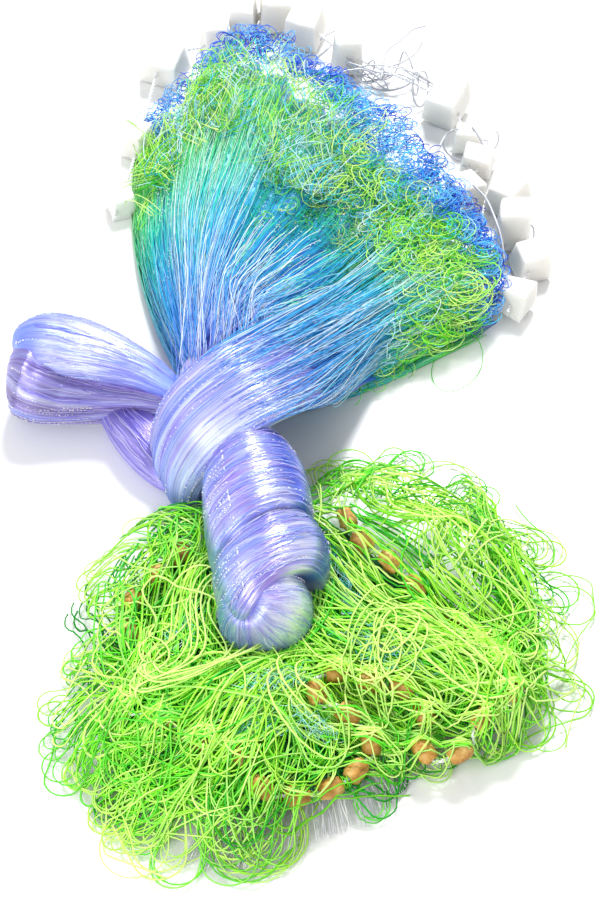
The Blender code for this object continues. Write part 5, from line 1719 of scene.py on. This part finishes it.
def rim_loops():
    """Locks of loops that go out from inside the heap, round at its rim, and back in.

    The heading turns a little on the way out, by half a turn or more at the round end, and a
    little on the way back.  The plan is the running sum of step * (cos, sin) of the heading,
    moved so that the round end begins where the table puts it.
    """
    rng = np.random.default_rng(101)
    table = np.array(RIM_LOOPS)
    row = np.repeat(np.arange(len(table)), table[:, 2].astype(int))
    lock = np.repeat(np.arange(len(row)), LOOPS_IN_LOCK)
    count = len(lock)
    low, high, _, small, large, near, far, skew = table[row].T
    azimuth = np.radians(rng.uniform(low, high)[lock] + rng.normal(0, 1.5, count))
    heading = skew[lock] + rng.normal(0, 20, len(row))[lock] + rng.normal(0, 5, count)
    heading = azimuth + np.radians(heading)
    radius = rng.uniform(small, large)[lock] * rng.uniform(0.75, 1.2, count)
    hand = rng.choice([-1.0, 1.0], len(row))[lock]
    out = rng.uniform(0.030, 0.085, len(row))[lock] * rng.uniform(0.85, 1.15, count)
    round_turn = rng.uniform(2.7, 4.0, count)
    bends = np.repeat(LOOP_STEPS, LOOP_STEPS)
    bend = np.stack([hand * rng.normal(0.1, 0.30, count), hand * round_turn,
                     -hand * rng.uniform(-0.1, 0.5, count)], axis=1)
    length = np.stack([out, radius * round_turn, out * rng.uniform(0.5, 1.0, count)], axis=1)
    part = np.repeat([0, 1, 2], LOOP_STEPS)
    turned = np.cumsum(bend[:, part] / bends, axis=1)
    out_steps = LOOP_STEPS[0]
    way = heading[:, None] + turned - turned[:, out_steps - 1:out_steps]
    stride = (length[:, part] / bends)[..., None] * joined(np.cos(way), np.sin(way))
    plan = np.concatenate([np.zeros((count, 1, 2)), np.cumsum(stride, axis=1)], axis=1)
    rim_x, rim_y = heap_rim(azimuth, rng.uniform(near, far)[lock] + rng.normal(0, 0.02, count))
    begin = joined(rim_x - radius * np.cos(heading), rim_y - radius * np.sin(heading))
    plan = plan - plan[:, out_steps:out_steps + 1] + begin[:, None]
    plan[..., 0] = np.minimum(plan[..., 0], MOST_X)
    layer = rng.uniform(0.70, 1.20, len(row))[lock] + rng.normal(0, 0.05, count)
    sway = 0.0016 * wander(rng, count, np.linspace(0, 1, plan.shape[1]), (0.8, 1.7))
    z = laid_height(plan, layer, sway)
    hue = rng.uniform(0.30, 0.95, len(row))[lock] + rng.normal(0, 0.06, count)
    light = rng.beta(1.8, 1.5, len(row))[lock] + rng.normal(0, 0.12, count)
    return strands("rim_loops", np.concatenate([plan, z[..., None]], axis=2),
                   rng.uniform(0.00050, 0.00076, count)[:, None], np.clip(hue, 0.22, 0.97)[:, None],
                   np.clip(light, 0.22, 0.92), coarse_green, COARSE)


rim_loops()


# %% Fine netting that shines through
PATCHES = [
    # x, y, half_length, half_width, heading (degrees), strands
    (-0.008, -0.290, 0.026, 0.010, 20.0, 24), (-0.034, -0.322, 0.030, 0.012, 25.0, 20),
    (0.020, -0.322, 0.022, 0.010, -10.0, 12), (0.062, -0.258, 0.034, 0.012, -35.0, 26),
    (-0.075, -0.235, 0.020, 0.010, 80.0, 18), (0.036, -0.205, 0.034, 0.009, -68.0, 30),
]


def fine_patches():
    """Fine aqua strands that run along a patch and zigzag over it by a folded sine."""
    rng = np.random.default_rng(102)
    run = np.linspace(-1, 1, 23)
    parts = []
    for x, y, half_length, half_width, heading, count in PATCHES:
        turn = heading + rng.normal(0, 12, (count, 1))
        ahead = half_length * (run * rng.uniform(0.4, 1.1, (count, 1)) + rng.normal(0, 0.35, (count, 1)))
        zigzag = np.arcsin(np.sin(run * rng.uniform(7, 12, (count, 1)) + rng.uniform(0, 6, (count, 1))))
        aside = half_width * rng.normal(0, 0.6, (count, 1)) + 0.0022 * zigzag
        ahead, aside = turned_by(turn, ahead, aside)
        z = heap_height(x + ahead, y + aside) * 1.02 + 0.003 + rng.normal(0, 0.0012, (count, 1))
        parts.append(joined(x + ahead, y + aside, z))
    paths = np.concatenate(parts)
    count = len(paths)
    return strands("fine_patches", paths, 0.00020, rng.uniform(0.50, 0.80, (count, 1)),
                   rng.uniform(0.45, 0.95, count), fan_blue, FINE)


fine_patches()


# %% Cut ends
def cut_ends():
    """Short clear ends that stick out under the front of the heap, each a shallow arc."""
    rng = np.random.default_rng(103)
    count = 190
    azimuth = np.radians(rng.uniform(-118, -40, count))
    places = []
    for push, rise in ((-0.20, 0.012), (-0.05, 0.012), (0.10, 0.003)):
        aside = 0.12 * push * rng.normal(0, 1, count)
        x, y = heap_rim(azimuth + aside, 0.95 + push * rng.uniform(0.6, 1.1, count))
        places.append(joined(x, y, rise * rng.uniform(0.4, 1.2, count) + 0.0006))
    paths = through_places(places, np.linspace(0, 1, 6))
    return strands("cut_ends", paths, 0.00028, 0.4, rng.uniform(0.6, 1.0, count), pale_line, FINE)


cut_ends()


# %% Clear line at the floats
LINE_ARCS = [
    # x, y, z of five places along each arc of clear line between the floats
    [(0.130, 0.262, 0.030), (0.122, 0.235, 0.034), (0.121, 0.208, 0.034), (0.124, 0.180, 0.034),
     (0.133, 0.152, 0.028)],
    [(0.150, 0.200, 0.030), (0.159, 0.182, 0.032), (0.165, 0.158, 0.032), (0.169, 0.140, 0.028),
     (0.171, 0.120, 0.020)],
    [(0.027, 0.331, 0.028), (0.040, 0.342, 0.030), (0.053, 0.348, 0.030), (0.066, 0.350, 0.028),
     (0.079, 0.347, 0.020)],
    [(0.079, 0.349, 0.020), (0.084, 0.388, 0.016), (0.098, 0.412, 0.012), (0.110, 0.430, 0.010),
     (0.122, 0.438, 0.008)],
    [(0.048, 0.377, 0.016), (0.060, 0.371, 0.016), (0.072, 0.367, 0.014), (0.084, 0.364, 0.012),
     (0.096, 0.365, 0.010)],
    [(0.120, 0.436, 0.006), (0.118, 0.418, 0.010), (0.112, 0.396, 0.012), (0.100, 0.380, 0.014),
     (0.086, 0.372, 0.014)],
]


def clear_line():
    """Thick arcs of clear line over the selvedge, and thin loops that hang out between floats."""
    rng = np.random.default_rng(104)
    arcs = through_places(list(np.array(LINE_ARCS).transpose(1, 0, 2)), np.linspace(0, 1, 24))
    arcs[..., 2] += 0.005
    count = 18
    near = rng.choice([7, 8, 8, 8, 10, 12, 14], count)
    centre = FLOAT_AT[near] - SHIFT + rng.normal(0, 0.010, (count, 3))
    centre[:, :2] += (FLOAT_AT[near - 1] - FLOAT_AT[near])[:, :2] * rng.uniform(0.1, 0.9, (count, 1))
    size = rng.uniform(0.005, 0.013, (count, 1))
    turn = rng.uniform(0, 6.28, (count, 1)) + np.linspace(0, 6.6, 24)
    lean = rng.uniform(0, 3.14, (count, 1))
    long, wide = size * np.cos(turn) * 1.6, size * 0.55 * np.sin(turn)
    drift = 0.008 * wander(rng, count, np.linspace(0, 1, 24), (0.5, 1.1))
    loops = joined(centre[:, :1] + long * np.cos(lean) - wide * np.sin(lean) + drift,
                   centre[:, 1:2] + long * np.sin(lean) + wide * np.cos(lean),
                   0.004 + 0.012 * rng.uniform(0, 1, (count, 1)) * (1 + np.sin(turn + 1.0)))
    radius = np.concatenate([np.full(len(arcs), 0.00115), np.full(count, 0.00080)])[:, None]
    light = np.concatenate([np.full(len(arcs), 0.60), rng.uniform(0.3, 0.7, count)])
    return strands("clear_line", np.concatenate([arcs, loops]), radius, 0.30, light, pale_line,
                   "rope_fibre", sides=4)


clear_line()


# %% Hitches at the sinkers
HITCH_FROM = 0.0094       # a hitch lies this far from its sinker's middle


def sinker_hitches():
    """Small green coils round the rope at both ends of each sinker."""
    rng = np.random.default_rng(105)
    ahead = np.repeat(row_directions(SINKER_AT), 2, axis=0)
    centre = np.repeat(SINKER_AT, 2, axis=0) - SHIFT
    count = len(ahead)
    centre = centre + ahead * (HITCH_FROM * np.tile([-1.0, 1.0], count // 2))[:, None]
    side, top = square_to(ahead)
    turn = np.linspace(0, 13.0, 22) + rng.uniform(0, 6, (count, 1))
    size = rng.uniform(0.0022, 0.0038, (count, 1)) * (1 + 0.25 * np.sin(2.3 * turn))
    along = 0.0030 * np.linspace(-1, 1, 22)
    paths = (centre[:, None] + ahead[:, None] * along[:, None]
             + side[:, None] * (size * np.cos(turn))[..., None]
             + top[:, None] * (size * np.sin(turn))[..., None])
    return strands("sinker_hitches", paths, 0.00048, rng.uniform(0.3, 0.9, (count, 1)),
                   rng.uniform(0.3, 0.9, count), coarse_green, COARSE)


sinker_hitches()


# %% A stray loop
def stray_loop():
    """One long loop beside the fan's right side: an ellipse whose two ends run in under it."""
    turn = np.linspace(-3.9, 1.9, 34)
    size = 1 + 0.10 * np.sin(2 * turn)
    x = 0.130 + 0.019 * size * np.cos(turn) + 0.0035 * np.sin(turn)
    y = 0.030 + 0.027 * size * np.sin(turn)
    z = 0.0015 + 0.008 * np.clip((y - 0.030) / 0.027, 0, 1)
    return strands("stray_loop", joined(x, y, z)[None], 0.00040, 0.42, [0.35], coarse_green, COARSE)


stray_loop()


# %% [markdown]
# ## Size
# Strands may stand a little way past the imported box, as threads stand proud of a bundle.  The
# two boxes are written down beside each other, so that anyone can see how far.

# %% Size and finish
low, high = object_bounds()
for axis, name in enumerate("xyz"):
    room = 0.03 * (cad_box[1][axis] - cad_box[0][axis]) + 0.010
    over = max(cad_box[0][axis] - low[axis], high[axis] - cad_box[1][axis])
    print(f"{name}: {over * 1000:.1f} mm past the packed box, {room * 1000:.1f} mm allowed")
